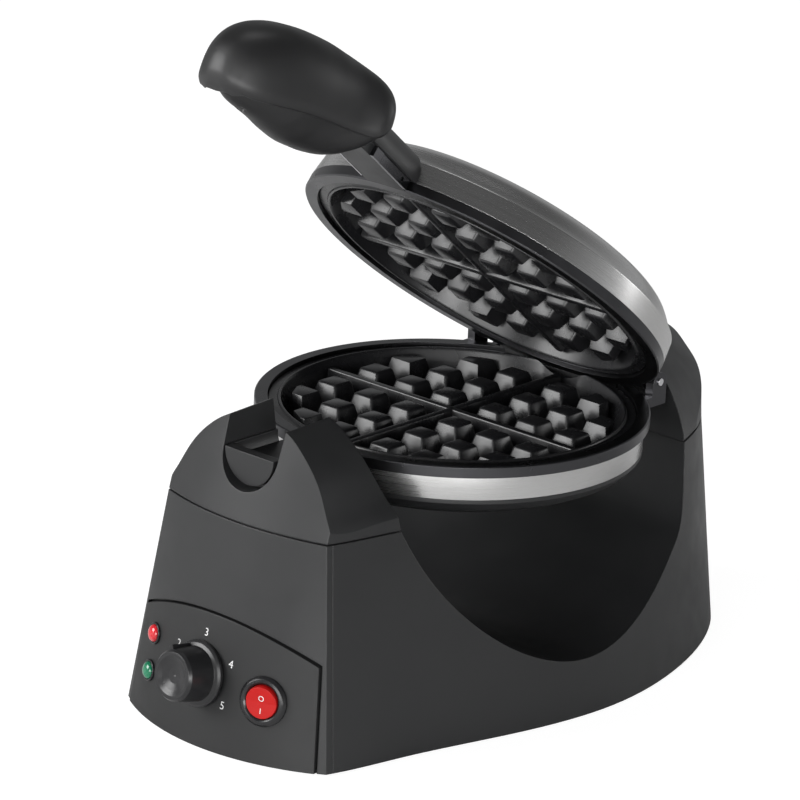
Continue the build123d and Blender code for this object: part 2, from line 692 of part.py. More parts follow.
def make_lower_arm():
    """The front arm of the lower half: a half round journal with an end flange."""
    drum = rod(0, ARM_END_Y, AXIS_Z, JOURNAL_R, -ARM_END_Y - 90, "y")
    arm = drum & box(-30, 30, ARM_END_Y, -90, AXIS_Z - 30, RIM_Z)
    flange = drum & box(-30, 30, ARM_END_Y, ARM_END_Y + FLANGE_T, AXIS_Z - 30, AXIS_Z)
    core = Pos(0, 0, RIM_Z - 3) * Cylinder(PAN_R, 6.02) + Pos(0, 0, RIM_Z - 26) * Cylinder(BAND_R, 40)
    return arm - core + flange


def make_trunnion():
    """The rear bracket of the lower half with the trunnion shaft."""
    neck = box(-16, 16, 90, BAY_Y - 0.6, RIM_Z - RING_H - BAND_H, RIM_Z - RING_H - 0.5)
    neck = neck - Pos(0, 0, RIM_Z - 26) * Cylinder(BAND_R, 60)
    disc = rod(0, BAY_Y - 4.6, AXIS_Z, 18, 4.0, "y")
    shaft = rod(0, BAY_Y - 4.6, AXIS_Z, TRUNNION_R, TRUNNION_END_Y - BAY_Y + 4.6, "y")
    clip_y = BAY_Y + BUSH_L + 1.4
    groove = rod(0, clip_y, AXIS_Z, TRUNNION_R + 1, 1.3, "y")
    groove = groove - rod(0, clip_y - 1, AXIS_Z, TRUNNION_R - 1.2, 4, "y")
    bore = rod(0, 100, AXIS_Z, 4.5, 60, "y")
    return neck + disc + shaft - groove - bore


def make_retainer():
    """The spring clip that keeps the trunnion in its bush."""
    clip_y = BAY_Y + BUSH_L + 1.5
    ring = rod(0, clip_y, AXIS_Z, TRUNNION_R + 3, 1.1, "y")
    ring = ring - rod(0, clip_y - 1, AXIS_Z, TRUNNION_R - 1.2, 4, "y")
    return ring - box(-5, 5, clip_y - 1, clip_y + 3, AXIS_Z, AXIS_Z + 30)


def make_hinge_pins():
    """The two short pins that the lid turns on."""
    pins = []
    for side in (-1, 1):
        x0 = LID_EAR_X + 0.2 if side > 0 else -EAR_X - EAR_T - 0.8
        pins.append(rod(x0, HINGE_Y, HINGE_Z, PIN_R, EAR_X + EAR_T + 0.6 - LID_EAR_X, "x"))
    return Compound(children=pins)


def flipped(shape):
    """A lower half piece mirrored into the lid, a hair above the rim."""
    return Pos(0, 0, LIP_GAP) * mirror(shape, about=Plane.XY.offset(RIM_Z))


def dome_edge(back):
    """The outline of the lid dome, moved inwards by the sheet thickness given."""
    seat = RIM_Z + LIP_GAP + RING_H
    foot = (PAN_R + 0.5 - back, seat)
    crease = (DOME_SHOULDER_R - back, seat + DOME_BAND_H - RING_H - back * 0.4)
    flat = (DOME_FLAT_R, seat + DOME_FLAT_H - RING_H - back)
    crown = (0, seat + DOME_TOP_H - RING_H - back)
    side = Line(foot, crease)
    shoulder = (92.5 - back * 0.6, flat[1] - 7.4 + back * 0.2)
    roof = Spline(crease, shoulder, flat, crown, tangents=[(-0.5, 0.86), (-1, 0)])
    return side, roof, foot, crown


def filled_dome():
    """The dome as one solid, down to the lid ring seat."""
    side, roof, foot, crown = dome_edge(0)
    floor = Line((0, foot[1]), foot)
    axis = Line(crown, (0, foot[1]))
    face = Plane.XZ * make_face(Wire(floor.edges() + side.edges() + roof.edges() + axis.edges()))
    return revolve(face, axis=Axis.Z)


def make_dome():
    """The brushed steel dome of the lid, a pressed sheet open below."""
    side, roof, foot, crown = dome_edge(0)
    side_in, roof_in, foot_in, crown_in = dome_edge(DOME_SHEET)
    rim = Line(foot_in, foot)
    axis = Line(crown, crown_in)
    edges = rim.edges() + side.edges() + roof.edges() + axis.edges() + roof_in.edges() + side_in.edges()
    face = Plane.XZ * make_face(Wire(edges))
    return revolve(face, axis=Axis.Z)


def make_lid_ring():
    """The black rim ring of the lid with its two hinge ears."""
    z = RIM_Z + LIP_GAP
    r = PAN_R + 0.5
    ring = spin([(r, z + 0.7), (r, z + RING_H), (93, z + RING_H), (93, z + 4), (PAN_R - RING_W, z + 4),
                 (PAN_R - RING_W, z), (r - 0.7, z)])
    for side in (-1, 1):
        x0 = LID_EAR_X if side > 0 else -EAR_X + 1.0
        width = EAR_X - 1.0 - LID_EAR_X
        ear = rod(x0, HINGE_Y, HINGE_Z, EAR_R, width, "x")
        web = box(x0, x0 + width, 84, HINGE_Y, z + 0.4, HINGE_Z + 3)
        ear = (ear + web) - Pos(0, 0, z + RING_H + 25) * Cylinder(r, 50) - Pos(0, 0, z) * Cylinder(r - 3, 40)
        ring = ring + ear - rod(x0 - 1, HINGE_Y, HINGE_Z, PIN_R + PIN_GAP, width + 2, "x")
    return ring


def make_lid_reflector():
    """The bright tray over the upper heater."""
    z = RIM_Z + LIP_GAP + PLATE_DEPTH + PLATE_FLOOR_T + 9.0
    return spin([(0, z), (61.7, z), (67, z - 2.5), (67.6, z - 1.9), (62, z + 0.7), (0, z + 0.7)])


def make_lid_studs():
    """Studs with nuts that hold the reflector to the upper plate."""
    low = RIM_Z + LIP_GAP + PLATE_DEPTH + PLATE_FLOOR_T
    studs = []
    for angle in SCREW_ANGLES:
        x = SCREW_RING_R * cos(radians(angle))
        y = SCREW_RING_R * sin(radians(angle))
        shank = rod(x, y, low, 1.7, 11.2, "z") + rod(x, y, low, 3.0, 9.0, "z")
        nut = Pos(x, y, low + 9.7) * extrude(RegularPolygon(3.4, 6), amount=1.5)
        studs.append(shank + nut)
    return Compound(children=studs)


def drill_studs(shape):
    """Holes in the lid reflector for the studs."""
    z = RIM_Z + PLATE_DEPTH + PLATE_FLOOR_T + 6
    for angle in SCREW_ANGLES:
        x = SCREW_RING_R * cos(radians(angle))
        y = SCREW_RING_R * sin(radians(angle))
        shape = shape - rod(x, y, z, 1.75, 8, "z")
    return shape


def handle_plane():
    """The frame of the handle: local x is width, y points up, z runs outwards."""
    droop = radians(HANDLE_DROOP)
    root = (0, HANDLE_ROOT_Y, HANDLE_ROOT_Z)
    return Plane(origin=root, x_dir=(1, 0, 0), z_dir=(0, -cos(droop), -sin(droop)))


def make_lid_arm():
    """The front arm of the lid, a half round bar that ends in a round collar and a tongue."""
    front = HANDLE_ROOT_Y - 10
    behind_root = handle_plane() * box(-30, 30, -40, 50, -120, 0)
    drum = rod(0, front, AXIS_Z, JOURNAL_R, -front - 80, "y") & behind_root
    upper = drum & box(-30, 30, front, -80, AXIS_Z, AXIS_Z + 30)
    low = RIM_Z + LIP_GAP
    flat = drum & box(-ARM_FLAT_X, ARM_FLAT_X, ARM_END_Y + FLANGE_T + 0.5, -80, low, AXIS_Z + 1)
    collar = drum & box(-30, 30, front, ARM_END_Y - 0.8, AXIS_Z - 30, AXIS_Z + 30)
    tongue = handle_plane() * box(-TONGUE_X, TONGUE_X, 8, 18, -6, 28)
    ring = Pos(0, 0, low + RING_H / 2) * Cylinder(PAN_R + 0.5, RING_H + 0.02)
    arm = upper + flat + collar + tongue
    for s in HANDLE_SCREWS[:2]:
        arm = arm - handle_plane() * rod(0, 0, s, 1.85, 30, "y")
    return arm - ring - filled_dome()


def make_lock_plate():
    """The bright steel clip on the side of the lid arm."""
    low = RIM_Z + LIP_GAP
    plate = box(ARM_FLAT_X, ARM_FLAT_X + 2, -141, -106, low, AXIS_Z)
    foot = box(ARM_FLAT_X, ARM_FLAT_X + 2.6, -141, -134, low, AXIS_Z)
    return plate + foot - rod(ARM_FLAT_X - 1, -112, (low + AXIS_Z) / 2, 1.2, 6, "x")


def handle_section(s, half, low, high, inset):
    """One closed outline across the handle, boxy above and softly rounded below."""
    half = half - inset
    high = high - inset
    mid = low + (high - low) * 0.3
    points = []
    count = 28
    for i in range(count):
        a = 2 * pi * i / count
        ca = cos(a)
        sa = sin(a)
        power = 2 / 2.5
        x = half * abs(ca) ** power * (1 if ca > 0 else -1)
        reach = (high - mid) if sa > 0 else (mid - low)
        y = mid + reach * abs(sa) ** power * (1 if sa > 0 else -1)
        points.append((x, y))
    place = Plane.XY.offset(s)
    return place * make_face(Spline(*points, periodic=True).edges())


def make_handle_body(inset, start):
    """The filled outline of the handle cap, or of its hollow for a positive inset."""
    drop = 12 if inset else 0
    faces = []
    for s, half, low, high in HANDLE_STATIONS:
        if s < start - 2 or (inset and s > 91):
            continue
        faces.append(handle_section(max(s, start), half, low - drop, high, inset))
    return loft(faces)


def make_keel(depth_grow):
    """The rounded grip that hangs under the handle cap."""
    faces = []
    for s, half, depth in KEEL_STATIONS:
        points = []
        count = 20
        for i in range(count):
            a = 2 * pi * i / count
            y = (8 + depth + depth_grow) / 2 * sin(a) + (8 - depth - depth_grow) / 2
            points.append((half * cos(a), y))
        faces.append(Plane.XY.offset(s) * make_face(Spline(*points, periodic=True).edges()))
    return loft(faces)


def make_handle_shell():
    """The smooth top shell of the handle, hollow below, with three screw bosses."""
    shell = make_handle_body(0, 0) - make_handle_body(HANDLE_WALL, HANDLE_WALL)
    shell = shell - box(-TONGUE_X - 0.3, TONGUE_X + 0.3, 7.7, 18.3, -5, 6)
    hollow = make_handle_body(HANDLE_WALL - 1, HANDLE_WALL)
    for s in HANDLE_SCREWS:
        low = 18.0 if s < 30 else 12.0
        boss = rod(0, low, s, 4.2, 40, "y") & hollow
        shell = shell + boss - rod(0, 0, s, 1.75, low + 8, "y")
    return handle_plane() * shell


def make_handle_grip():
    """The lower grip: a plate recessed in the shell with a rounded keel under it."""
    inside = make_handle_body(HANDLE_WALL + 0.15, HANDLE_WALL + 0.2)
    plate = inside & box(-60, 60, GRIP_SEAT, GRIP_SEAT + 2.5, 0, 120)
    keel = make_keel(0) & box(-60, 60, -40, GRIP_SEAT + 1, 0, 120)
    grip = plate + keel
    pad = rod(0, GRIP_SEAT, HANDLE_SCREWS[2], 4.2, 12.0 - GRIP_SEAT, "y")
    grip = grip + pad
    for s in HANDLE_SCREWS:
        grip = grip - rod(0, -40, s, 1.85, 60, "y") - rod(0, -40, s, 3.6, 40 - 2, "y")
    return handle_plane() * grip


def make_handle_screws():
    """Screws up through the grip and the tongue into the shell bosses."""
    screws = []
    for s in HANDLE_SCREWS:
        top = 25.5 if s < 30 else 19.5
        screw = rod(0, -2, s, 1.7, top + 2, "y") + rod(0, -4.2, s, 3.3, 2.2, "y")
        slot = box(-2.4, 2.4, -4.4, -3.2, s - 0.4, s + 0.4) + box(-0.4, 0.4, -4.4, -3.2, s - 2.4, s + 2.4)
        screws.append(screw - slot)
    return handle_plane() * Compound(children=screws)


save("stand_housing", make_housing())
save("front_fascia", make_fascia())
save("control_panel", make_panel())
save("front_tower_cap", make_front_cap())
save("rear_tower_cap", make_rear_cap())
save("bottom_cover", make_cover())
save("rubber_feet", make_feet())
save("bottom_screws", make_base_screws())
save("front_bearing_liner", make_liner())
save("rear_bearing_bush", make_bush())
save("thermostat_body", make_thermostat())
save("switch_body", make_switch())
save("red_lamp_lens", make_lamp("red"))
save("green_lamp_lens", make_lamp("green"))
save("neon_lamps", make_neons())
save("terminal_block", make_terminal_block())
save("cord_inlet_bush", make_gland())

save("lower_rim_ring", make_lower_ring())
save("lower_steel_band", make_lower_band())
save("lower_heat_tray", drill_standoffs(make_lower_shell()))
save("lower_cooking_plate", cut_rear(make_plate()))
save("lower_heater", make_heater())
save("lower_reflector", drill_standoffs(make_reflector()))
save("lower_plate_screws", make_standoffs())
save("lower_thermal_switch", make_sensor())
save("lower_front_arm", make_lower_arm())
save("rear_trunnion", make_trunnion())
save("trunnion_clip", make_retainer())
save("lid_hinge_pins", make_hinge_pins())

save("lid_rim_ring", OPEN * make_lid_ring())
save("lid_dome", OPEN * make_dome())
save("upper_cooking_plate", OPEN * flipped(make_plate()))
save("upper_heater", OPEN * flipped(make_heater()))
save("lid_reflector", OPEN * drill_studs(make_lid_reflector()))
save("lid_reflector_studs", OPEN * make_lid_studs())
save("upper_thermal_switch", OPEN * flipped(make_sensor()))
save("lid_front_arm", OPEN * make_lid_arm())
save("lid_arm_clip", OPEN * make_lock_plate())
save("handle_shell", OPEN * make_handle_shell())
save("handle_grip", OPEN * make_handle_grip())
save("handle_screws", OPEN * make_handle_screws())

save("dial_knob", make_knob())
save("dial_shaft", make_thermostat_shaft())
save("power_rocker", make_rocker())
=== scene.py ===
import json
from math import cos, pi, radians, sin, sqrt

import bmesh
import bpy
import numpy as np
from mathutils import Matrix, Vector


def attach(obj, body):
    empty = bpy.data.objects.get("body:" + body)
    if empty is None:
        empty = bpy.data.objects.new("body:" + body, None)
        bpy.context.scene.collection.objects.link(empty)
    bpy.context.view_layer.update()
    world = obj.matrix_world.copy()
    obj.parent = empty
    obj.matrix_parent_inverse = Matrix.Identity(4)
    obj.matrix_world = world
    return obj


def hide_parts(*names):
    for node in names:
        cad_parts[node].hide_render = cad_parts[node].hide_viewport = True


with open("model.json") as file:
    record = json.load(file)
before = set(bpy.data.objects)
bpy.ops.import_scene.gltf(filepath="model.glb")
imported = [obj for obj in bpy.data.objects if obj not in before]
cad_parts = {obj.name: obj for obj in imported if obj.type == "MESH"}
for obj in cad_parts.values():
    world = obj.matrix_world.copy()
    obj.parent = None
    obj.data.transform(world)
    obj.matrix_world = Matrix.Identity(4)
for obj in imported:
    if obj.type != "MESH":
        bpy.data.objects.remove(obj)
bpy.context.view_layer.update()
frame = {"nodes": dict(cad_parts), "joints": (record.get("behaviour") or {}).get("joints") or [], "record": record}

# Shared sizes, in millimetres unless a name ends in _M, which is metres

MM = 0.001
RIM_Z = 145.0
LIP_GAP = 0.3
RING_H = 6.0
RING_W = 7.0
PAN_R = 104.0
SEAT_Z = RIM_Z + LIP_GAP + RING_H

JOINTS = {joint["name"]: joint for joint in frame["joints"]}
LID_HINGE_M = Vector(JOINTS["lid_hinge"]["pos_m"])
LID_TRAVEL_DEG = JOINTS["lid_hinge"]["range_deg"][1]
LID_TURN = Matrix.Rotation(radians(-LID_TRAVEL_DEG), 4, "X")
# The frame rests with its lid open. Lid pieces are modelled on the shut lid, and OPEN swings them up to rest.
OPEN = Matrix.Translation(LID_HINGE_M) @ LID_TURN @ Matrix.Translation(-LID_HINGE_M)
UPRIGHT = Matrix.Identity(4)


# Material helpers

CLOUD_SCALE = 14.0
WEAR_SCALE = 60.0
SMUDGE_SCALE = 45.0
PLASTIC_GRAIN_M = 0.00012
METAL_GRAIN_M = 0.0001
COAT_ROUGHNESS = 0.12
EDGE_SAMPLES = 6
METAL_EDGE = 0.3
METAL_DARK = 0.9
BRUSHED_EDGE = 0.25
BRUSHED_DARK = 0.93
BRUSHED_BUMP = 0.05
BROAD_SHARE = 0.12
# How far the roughness wanders below and above its value.
PLASTIC_SPREAD = (-0.04, 0.05)
BRUSHED_SPREAD = (-0.03, 0.04)
METAL_SPREAD = (0.0, 0.08)


def new_material(name):
    mat = bpy.data.materials.new(name)
    mat.use_nodes = True
    nodes = mat.node_tree.nodes
    return mat, nodes, mat.node_tree.links, nodes["Principled BSDF"]


def noise(nodes, links, coord, scale, detail, stretch=None):
    """A noise texture on the given coordinate output, stretched if asked."""
    tex = nodes.new("ShaderNodeTexNoise")
    tex.inputs["Scale"].default_value = scale
    tex.inputs["Detail"].default_value = detail
    if stretch:
        mapping = nodes.new("ShaderNodeMapping")
        mapping.inputs["Scale"].default_value = stretch
        links.new(coord, mapping.inputs["Vector"])
        coord = mapping.outputs["Vector"]
    links.new(coord, tex.inputs["Vector"])
    return tex.outputs["Fac"]


def ramp(nodes, links, value, low, high, start=0.3, stop=0.7):
    """Maps a value between start and stop onto low to high."""
    node = nodes.new("ShaderNodeMapRange")
    node.inputs["From Min"].default_value = start
    node.inputs["From Max"].default_value = stop
    node.inputs["To Min"].default_value = low
    node.inputs["To Max"].default_value = high
    links.new(value, node.inputs["Value"])
    return node.outputs["Result"]


def colour_mix(nodes, links, value, dark, light):
    """Blends two colours by a value from 0 to 1."""
    node = nodes.new("ShaderNodeMix")
    node.data_type = "RGBA"
    factor, first, second = node.inputs[0], node.inputs[6], node.inputs[7]
    first.default_value = (*dark, 1)
    second.default_value = (*light, 1)
    links.new(value, factor)
    return node.outputs[2]


def two_tone(nodes, links, shader, value, dark, light):
    """Base colour that runs between two close tones."""
    mixed = colour_mix(nodes, links, ramp(nodes, links, value, 0, 1), dark, light)
    links.new(mixed, shader.inputs["Base Color"])


def uneven_gloss(nodes, links, shader, value, rough, spread):
    """Roughness that wanders a little round its value."""
    level = ramp(nodes, links, value, rough + spread[0], rough + spread[1])
    links.new(level, shader.inputs["Roughness"])


def finish_normal(nodes, links, shader, height, strength, distance_m, edge):
    """Fine grain as bump, over soft edges from a bevel node where edge isn't 0."""
    bump = nodes.new("ShaderNodeBump")
    bump.inputs["Strength"].default_value = strength
    bump.inputs["Distance"].default_value = distance_m
    links.new(height, bump.inputs["Height"])
    if edge:
        soft = nodes.new("ShaderNodeBevel")
        soft.samples = EDGE_SAMPLES
        soft.inputs["Radius"].default_value = edge * MM
        links.new(soft.outputs["Normal"], bump.inputs["Normal"])
    links.new(bump.outputs["Normal"], shader.inputs["Normal"])


def plastic(name, dark, light, rough, grain=1400.0, bump=0.12, edge=0.7, coat=0.0, specular=0.5):
    """Moulded plastic with fine grain, faint cloudiness and slightly uneven gloss."""
    mat, nodes, links, shader = new_material(name)
    coord = nodes.new("ShaderNodeTexCoord").outputs["Object"]
    cloud = noise(nodes, links, coord, CLOUD_SCALE, detail=3.0)
    fine = noise(nodes, links, coord, grain, detail=2.0)
    wear = noise(nodes, links, coord, WEAR_SCALE, detail=5.0)
    two_tone(nodes, links, shader, cloud, dark, light)
    uneven_gloss(nodes, links, shader, wear, rough, PLASTIC_SPREAD)
    shader.inputs["Specular IOR Level"].default_value = specular
    shader.inputs["Coat Weight"].default_value = coat
    shader.inputs["Coat Roughness"].default_value = COAT_ROUGHNESS
    finish_normal(nodes, links, shader, fine, bump, PLASTIC_GRAIN_M, edge)
    return mat


def brushed(name, tint, rough, stretch):
    """Brushed steel: long fine scratches along the first direction of the UVs."""
    mat, nodes, links, shader = new_material(name)
    coord = nodes.new("ShaderNodeTexCoord").outputs["UV"]
    wide = tuple(v * BROAD_SHARE for v in stretch)
    lines = noise(nodes, links, coord, 1.0, detail=3.0, stretch=stretch)
    broad = noise(nodes, links, coord, 1.0, detail=2.0, stretch=wide)
    two_tone(nodes, links, shader, lines, tuple(v * BRUSHED_DARK for v in tint), tint)
    uneven_gloss(nodes, links, shader, lines, rough, BRUSHED_SPREAD)
    shader.inputs["Metallic"].default_value = 1.0
    total = nodes.new("ShaderNodeMath")
    links.new(lines, total.inputs[0])
    links.new(broad, total.inputs[1])
    finish_normal(nodes, links, shader, total.outputs[0], BRUSHED_BUMP, METAL_GRAIN_M, BRUSHED_EDGE)
    return mat


def metal(name, tint, rough, grain=300.0, bump=0.05):
    """Plain plated or pressed metal with faint smudges."""
    mat, nodes, links, shader = new_material(name)
    coord = nodes.new("ShaderNodeTexCoord").outputs["Object"]
    smudge = noise(nodes, links, coord, SMUDGE_SCALE, detail=4.0)
    fine = noise(nodes, links, coord, grain, detail=3.0)
    two_tone(nodes, links, shader, smudge, tuple(v * METAL_DARK for v in tint), tint)
    uneven_gloss(nodes, links, shader, smudge, rough, METAL_SPREAD)
    shader.inputs["Metallic"].default_value = 1.0
    finish_normal(nodes, links, shader, fine, bump, METAL_GRAIN_M, METAL_EDGE)
    return mat


# The materials. A plastic has a darker and a lighter tone, a metal one tint, then comes the roughness.

BLACK = plastic("black_plastic", (0.0135, 0.0138, 0.0145), (0.0165, 0.0168, 0.0175), 0.40)
PANEL = plastic("panel_plastic", (0.0080, 0.0082, 0.0086), (0.0100, 0.0103, 0.0107), 0.50,
                grain=1800, bump=0.08)
NONSTICK = plastic("nonstick", (0.009, 0.009, 0.010), (0.012, 0.012, 0.013), 0.27,
                   grain=1500, bump=0.03, edge=0.0)
RING_METAL = metal("ring_metal", (0.085, 0.085, 0.09), 0.26, grain=900, bump=0.04)
DARK_CHROME = metal("dark_chrome", (0.16, 0.16, 0.17), 0.14)
RIM = plastic("rim_ring", (0.013, 0.013, 0.014), (0.018, 0.018, 0.019), 0.24,
              grain=1500, bump=0.05, edge=0.6)
GRIP = plastic("soft_grip", (0.011, 0.011, 0.0115), (0.014, 0.014, 0.0145), 0.44,
               grain=2200, bump=0.07, edge=1.2)
KNOB = plastic("knob_plastic", (0.012, 0.012, 0.013), (0.016, 0.016, 0.017), 0.30,
               grain=1700, bump=0.06, edge=0.5)
SWITCH = plastic("switch_plastic", (0.010, 0.010, 0.011), (0.014, 0.014, 0.015), 0.22,
                 grain=1700, bump=0.05)
LINER = plastic("bearing_plastic", (0.02, 0.02, 0.021), (0.026, 0.026, 0.027), 0.35)
RUBBER = plastic("rubber", (0.015, 0.015, 0.015), (0.022, 0.022, 0.022), 0.7, grain=700, bump=0.3)
PHENOLIC = plastic("phenolic", (0.035, 0.024, 0.018), (0.05, 0.035, 0.026), 0.5)
RED = plastic("red_plastic", (0.36, 0.003, 0.003), (0.42, 0.005, 0.004), 0.34,
              grain=900, bump=0.03, edge=0.5, specular=0.35)
RED_LENS = plastic("red_lens", (0.55, 0.012, 0.02), (0.68, 0.02, 0.03), 0.12,
                   grain=500, bump=0.03, edge=0.3, coat=0.6)
GREEN_LENS = plastic("green_lens", (0.005, 0.16, 0.075), (0.01, 0.22, 0.10), 0.12,
                     grain=500, bump=0.03, edge=0.3, coat=0.6)
LAMP = plastic("lamp_glass", (0.5, 0.3, 0.2), (0.6, 0.36, 0.24), 0.1, edge=0.0)
PRINT = plastic("print_white", (0.62, 0.62, 0.62), (0.72, 0.72, 0.72), 0.5, edge=0.0)
STEEL = brushed("steel", (0.66, 0.655, 0.65), 0.26, (3.0, 900.0, 1.0))
CHROME = metal("bright_steel", (0.80, 0.80, 0.82), 0.08)
SCREW = metal("screw_steel", (0.55, 0.55, 0.57), 0.28)
ALUMINIUM = metal("bare_aluminium", (0.75, 0.75, 0.76), 0.25)
HEATER = metal("heater_steel", (0.20, 0.18, 0.17), 0.45, grain=600, bump=0.2)

FINISH = {
    "black_plastic": BLACK, "panel_plastic": PANEL, "nonstick": NONSTICK, "rim_ring": RIM, "steel": STEEL,
    "bright_steel": CHROME, "bare_aluminium": ALUMINIUM, "heater_steel": HEATER, "rubber": RUBBER,
    "soft_grip": GRIP, "bearing_plastic": LINER, "knob_plastic": KNOB, "switch_plastic": SWITCH,
    "red_plastic": RED, "red_lens": RED_LENS, "green_lens": GREEN_LENS, "lamp_glass": LAMP,
    "phenolic": PHENOLIC, "screw_steel": SCREW,
}
OWN_FINISH = {"lower_rim_ring": RING_METAL, "lid_rim_ring": RING_METAL, "lid_arm_clip": DARK_CHROME}
SHARP_DEG = 32


def dress_frame():
    """Gives every CAD node its material and smooth shading between sharp edges."""
    slot_of = {part["node"]: part["material_slot"] for part in frame["record"]["subparts"]}
    for node, obj in frame["nodes"].items():
        obj.data.materials.clear()
        obj.data.materials.append(OWN_FINISH.get(node) or FINISH[slot_of[node]])
        for poly in obj.data.polygons:
            poly.use_smooth = True
        obj.data.set_sharp_from_angle(angle=radians(SHARP_DEG))


# Mesh helpers for the new pieces

WELD_M = 2e-6
NO_LENGTH = 1e-6
CORNER_SHARE = 0.4
CORNER_STEPS = 4
STRAIGHT_RAD = 2.9
LEAST_CORNER = 0.02
UV_PER_MM = 0.01
EDGE_STEPS = 3
ROD_SEGMENTS = 32
CUT_SHARP_DEG = 34


def new_object(name, mesh, mat):
    obj = bpy.data.objects.new(name, mesh)
    bpy.context.scene.collection.objects.link(obj)
    mesh.materials.append(mat)
    return obj


def finish_mesh(mesh, angle=SHARP_DEG):
    """Outward normals, smooth shading and sharp edges past the angle."""
    bm = bmesh.new()
    bm.from_mesh(mesh)
    bmesh.ops.recalc_face_normals(bm, faces=bm.faces)
    bm.to_mesh(mesh)
    bm.free()
    for poly in mesh.polygons:
        poly.use_smooth = True
    mesh.set_sharp_from_angle(angle=radians(angle))


def weld(mesh):
    """Merges points that meet and drops faces without area."""
    bm = bmesh.new()
    bm.from_mesh(mesh)
    bmesh.ops.remove_doubles(bm, verts=bm.verts, dist=WELD_M)
    bmesh.ops.dissolve_degenerate(bm, dist=NO_LENGTH, edges=bm.edges)
    bm.to_mesh(mesh)
    bm.free()


def rounded(points, radius, steps=CORNER_STEPS, closed=True):
    """A 2-D outline with each corner cut by a small curve."""
    result = []
    count = len(points)
    for i in range(count):
        p = Vector(points[i])
        to_last = Vector(points[i - 1]) - p
        to_next = Vector(points[(i + 1) % count]) - p
        is_end = not closed and i in (0, count - 1)
        if is_end or min(to_last.length, to_next.length) < NO_LENGTH:
            result.append(tuple(p))
            continue
        cut = min(radius, CORNER_SHARE * to_last.length, CORNER_SHARE * to_next.length)
        if to_last.angle(to_next) > STRAIGHT_RAD or cut < LEAST_CORNER:
            result.append(tuple(p))
            continue
        start = p + to_last.normalized() * cut
        end = p + to_next.normalized() * cut
        for k in range(steps + 1):
            t = k / steps
            result.append(tuple((1 - t) ** 2 * start + 2 * t * (1 - t) * p + t * t * end))
    return result


def lay_uvs(mesh, points, segments):
    """UVs of a turned outline: once round it, and along its profile by length."""
    count = len(points)
    along = [0.0]
    for i in range(count):
        step = Vector(points[(i + 1) % count]) - Vector(points[i])
        along.append(along[-1] + step.length)
    layer = mesh.uv_layers.new(name="UV")
    n = 0
    for k in range(segments):
        u0, u1 = k / segments, (k + 1) / segments
        for i in range(count):
            v0, v1 = along[i] * UV_PER_MM, along[i + 1] * UV_PER_MM
            for corner in ((u0, v0), (u1, v0), (u1, v1), (u0, v1)):
                layer.data[n].uv = corner
                n += 1


def lathe(name, outline, mat, segments, radius, turn=UPRIGHT, angle=SHARP_DEG):
    """A closed outline (r, z) turned about Z, with its corners rounded."""
    points = rounded(outline, radius)
    count = len(points)
    verts = []
    for k in range(segments):
        a = 2 * pi * k / segments
        verts += [(r * cos(a) * MM, r * sin(a) * MM, z * MM) for r, z in points]
    faces = []
    for k in range(segments):
        n = (k + 1) % segments
        for i in range(count):
            j = (i + 1) % count
            faces.append((k * count + i, n * count + i, n * count + j, k * count + j))
    mesh = bpy.data.meshes.new(name)
    mesh.from_pydata(verts, [], faces)
    lay_uvs(mesh, points, segments)
    mesh.transform(turn)
    weld(mesh)
    finish_mesh(mesh, angle)
    return new_object(name, mesh, mat)


def skin(name, rings, mat, turn, angle):
    """A closed mesh through equal rings of 3-D points."""
    count = len(rings[0])
    verts = [tuple(c * MM for c in p) for ring in rings for p in ring]
    faces = []
    for k in range(len(rings) - 1):
        for i in range(count):
            j = (i + 1) % count
            faces.append((k * count + i, k * count + j, (k + 1) * count + j, (k + 1) * count + i))
    faces.append(tuple(range(count)))
    faces.append(tuple((len(rings) - 1) * count + i for i in range(count)))
    mesh = bpy.data.meshes.new(name)
    mesh.from_pydata(verts, [], faces)
    mesh.transform(turn)
    weld(mesh)
    finish_mesh(mesh, angle)
    return new_object(name, mesh, mat)


def cubic(t, start, end, start_slope, end_slope):
    """The cubic between two values with the given end slopes, at share t of the way."""
    return ((2 * t ** 3 - 3 * t ** 2 + 1) * start + (t ** 3 - 2 * t ** 2 + t) * start_slope
            + (3 * t ** 2 - 2 * t ** 3) * end + (t ** 3 - t ** 2) * end_slope)


def column_value(rows, s, column):
    """A smooth value from a column of rows at station s, without overshoot."""
    xs = [row[0] for row in rows]
    ys = [row[column] for row in rows]
    s = min(max(s, xs[0]), xs[-1])
    i = max(k for k in range(len(xs) - 1) if xs[k] <= s)
    slopes = [(ys[k + 1] - ys[k]) / (xs[k + 1] - xs[k]) for k in range(len(xs) - 1)]

    def tangent(k):
        if k == 0:
            return slopes[0]
        if k == len(xs) - 1:
            return slopes[-1]
        before, after = slopes[k - 1], slopes[k]
        return 0.0 if before * after <= 0 else 2 * before * after / (before + after)

    gap = xs[i + 1] - xs[i]
    return cubic((s - xs[i]) / gap, ys[i], ys[i + 1], gap * tangent(i), gap * tangent(i + 1))


def block(near, far):
    """A loose solid between two four-cornered ends."""
    bm = bmesh.new()
    ends = [[bm.verts.new(p) for p in end] for end in (near, far)]
    bm.faces.new(ends[0][::-1])
    bm.faces.new(ends[1])
    for i in range(4):
        j = (i + 1) % 4
        bm.faces.new((ends[0][i], ends[0][j], ends[1][j], ends[1][i]))
    bmesh.ops.recalc_face_normals(bm, faces=bm.faces)
    return bm


def round_edges(bm, edges, radius):
    """Rounds the given edges of a loose solid."""
    bmesh.ops.bevel(bm, geom=edges, offset=radius, segments=EDGE_STEPS, profile=0.5, affect="EDGES",
                    clamp_overlap=True)


def move_into(bm, loose):
    """Joins a loose solid to a mesh in the making."""
    mesh = bpy.data.meshes.new("loose")
    loose.to_mesh(mesh)
    loose.free()
    bm.from_mesh(mesh)
    bpy.data.meshes.remove(mesh)


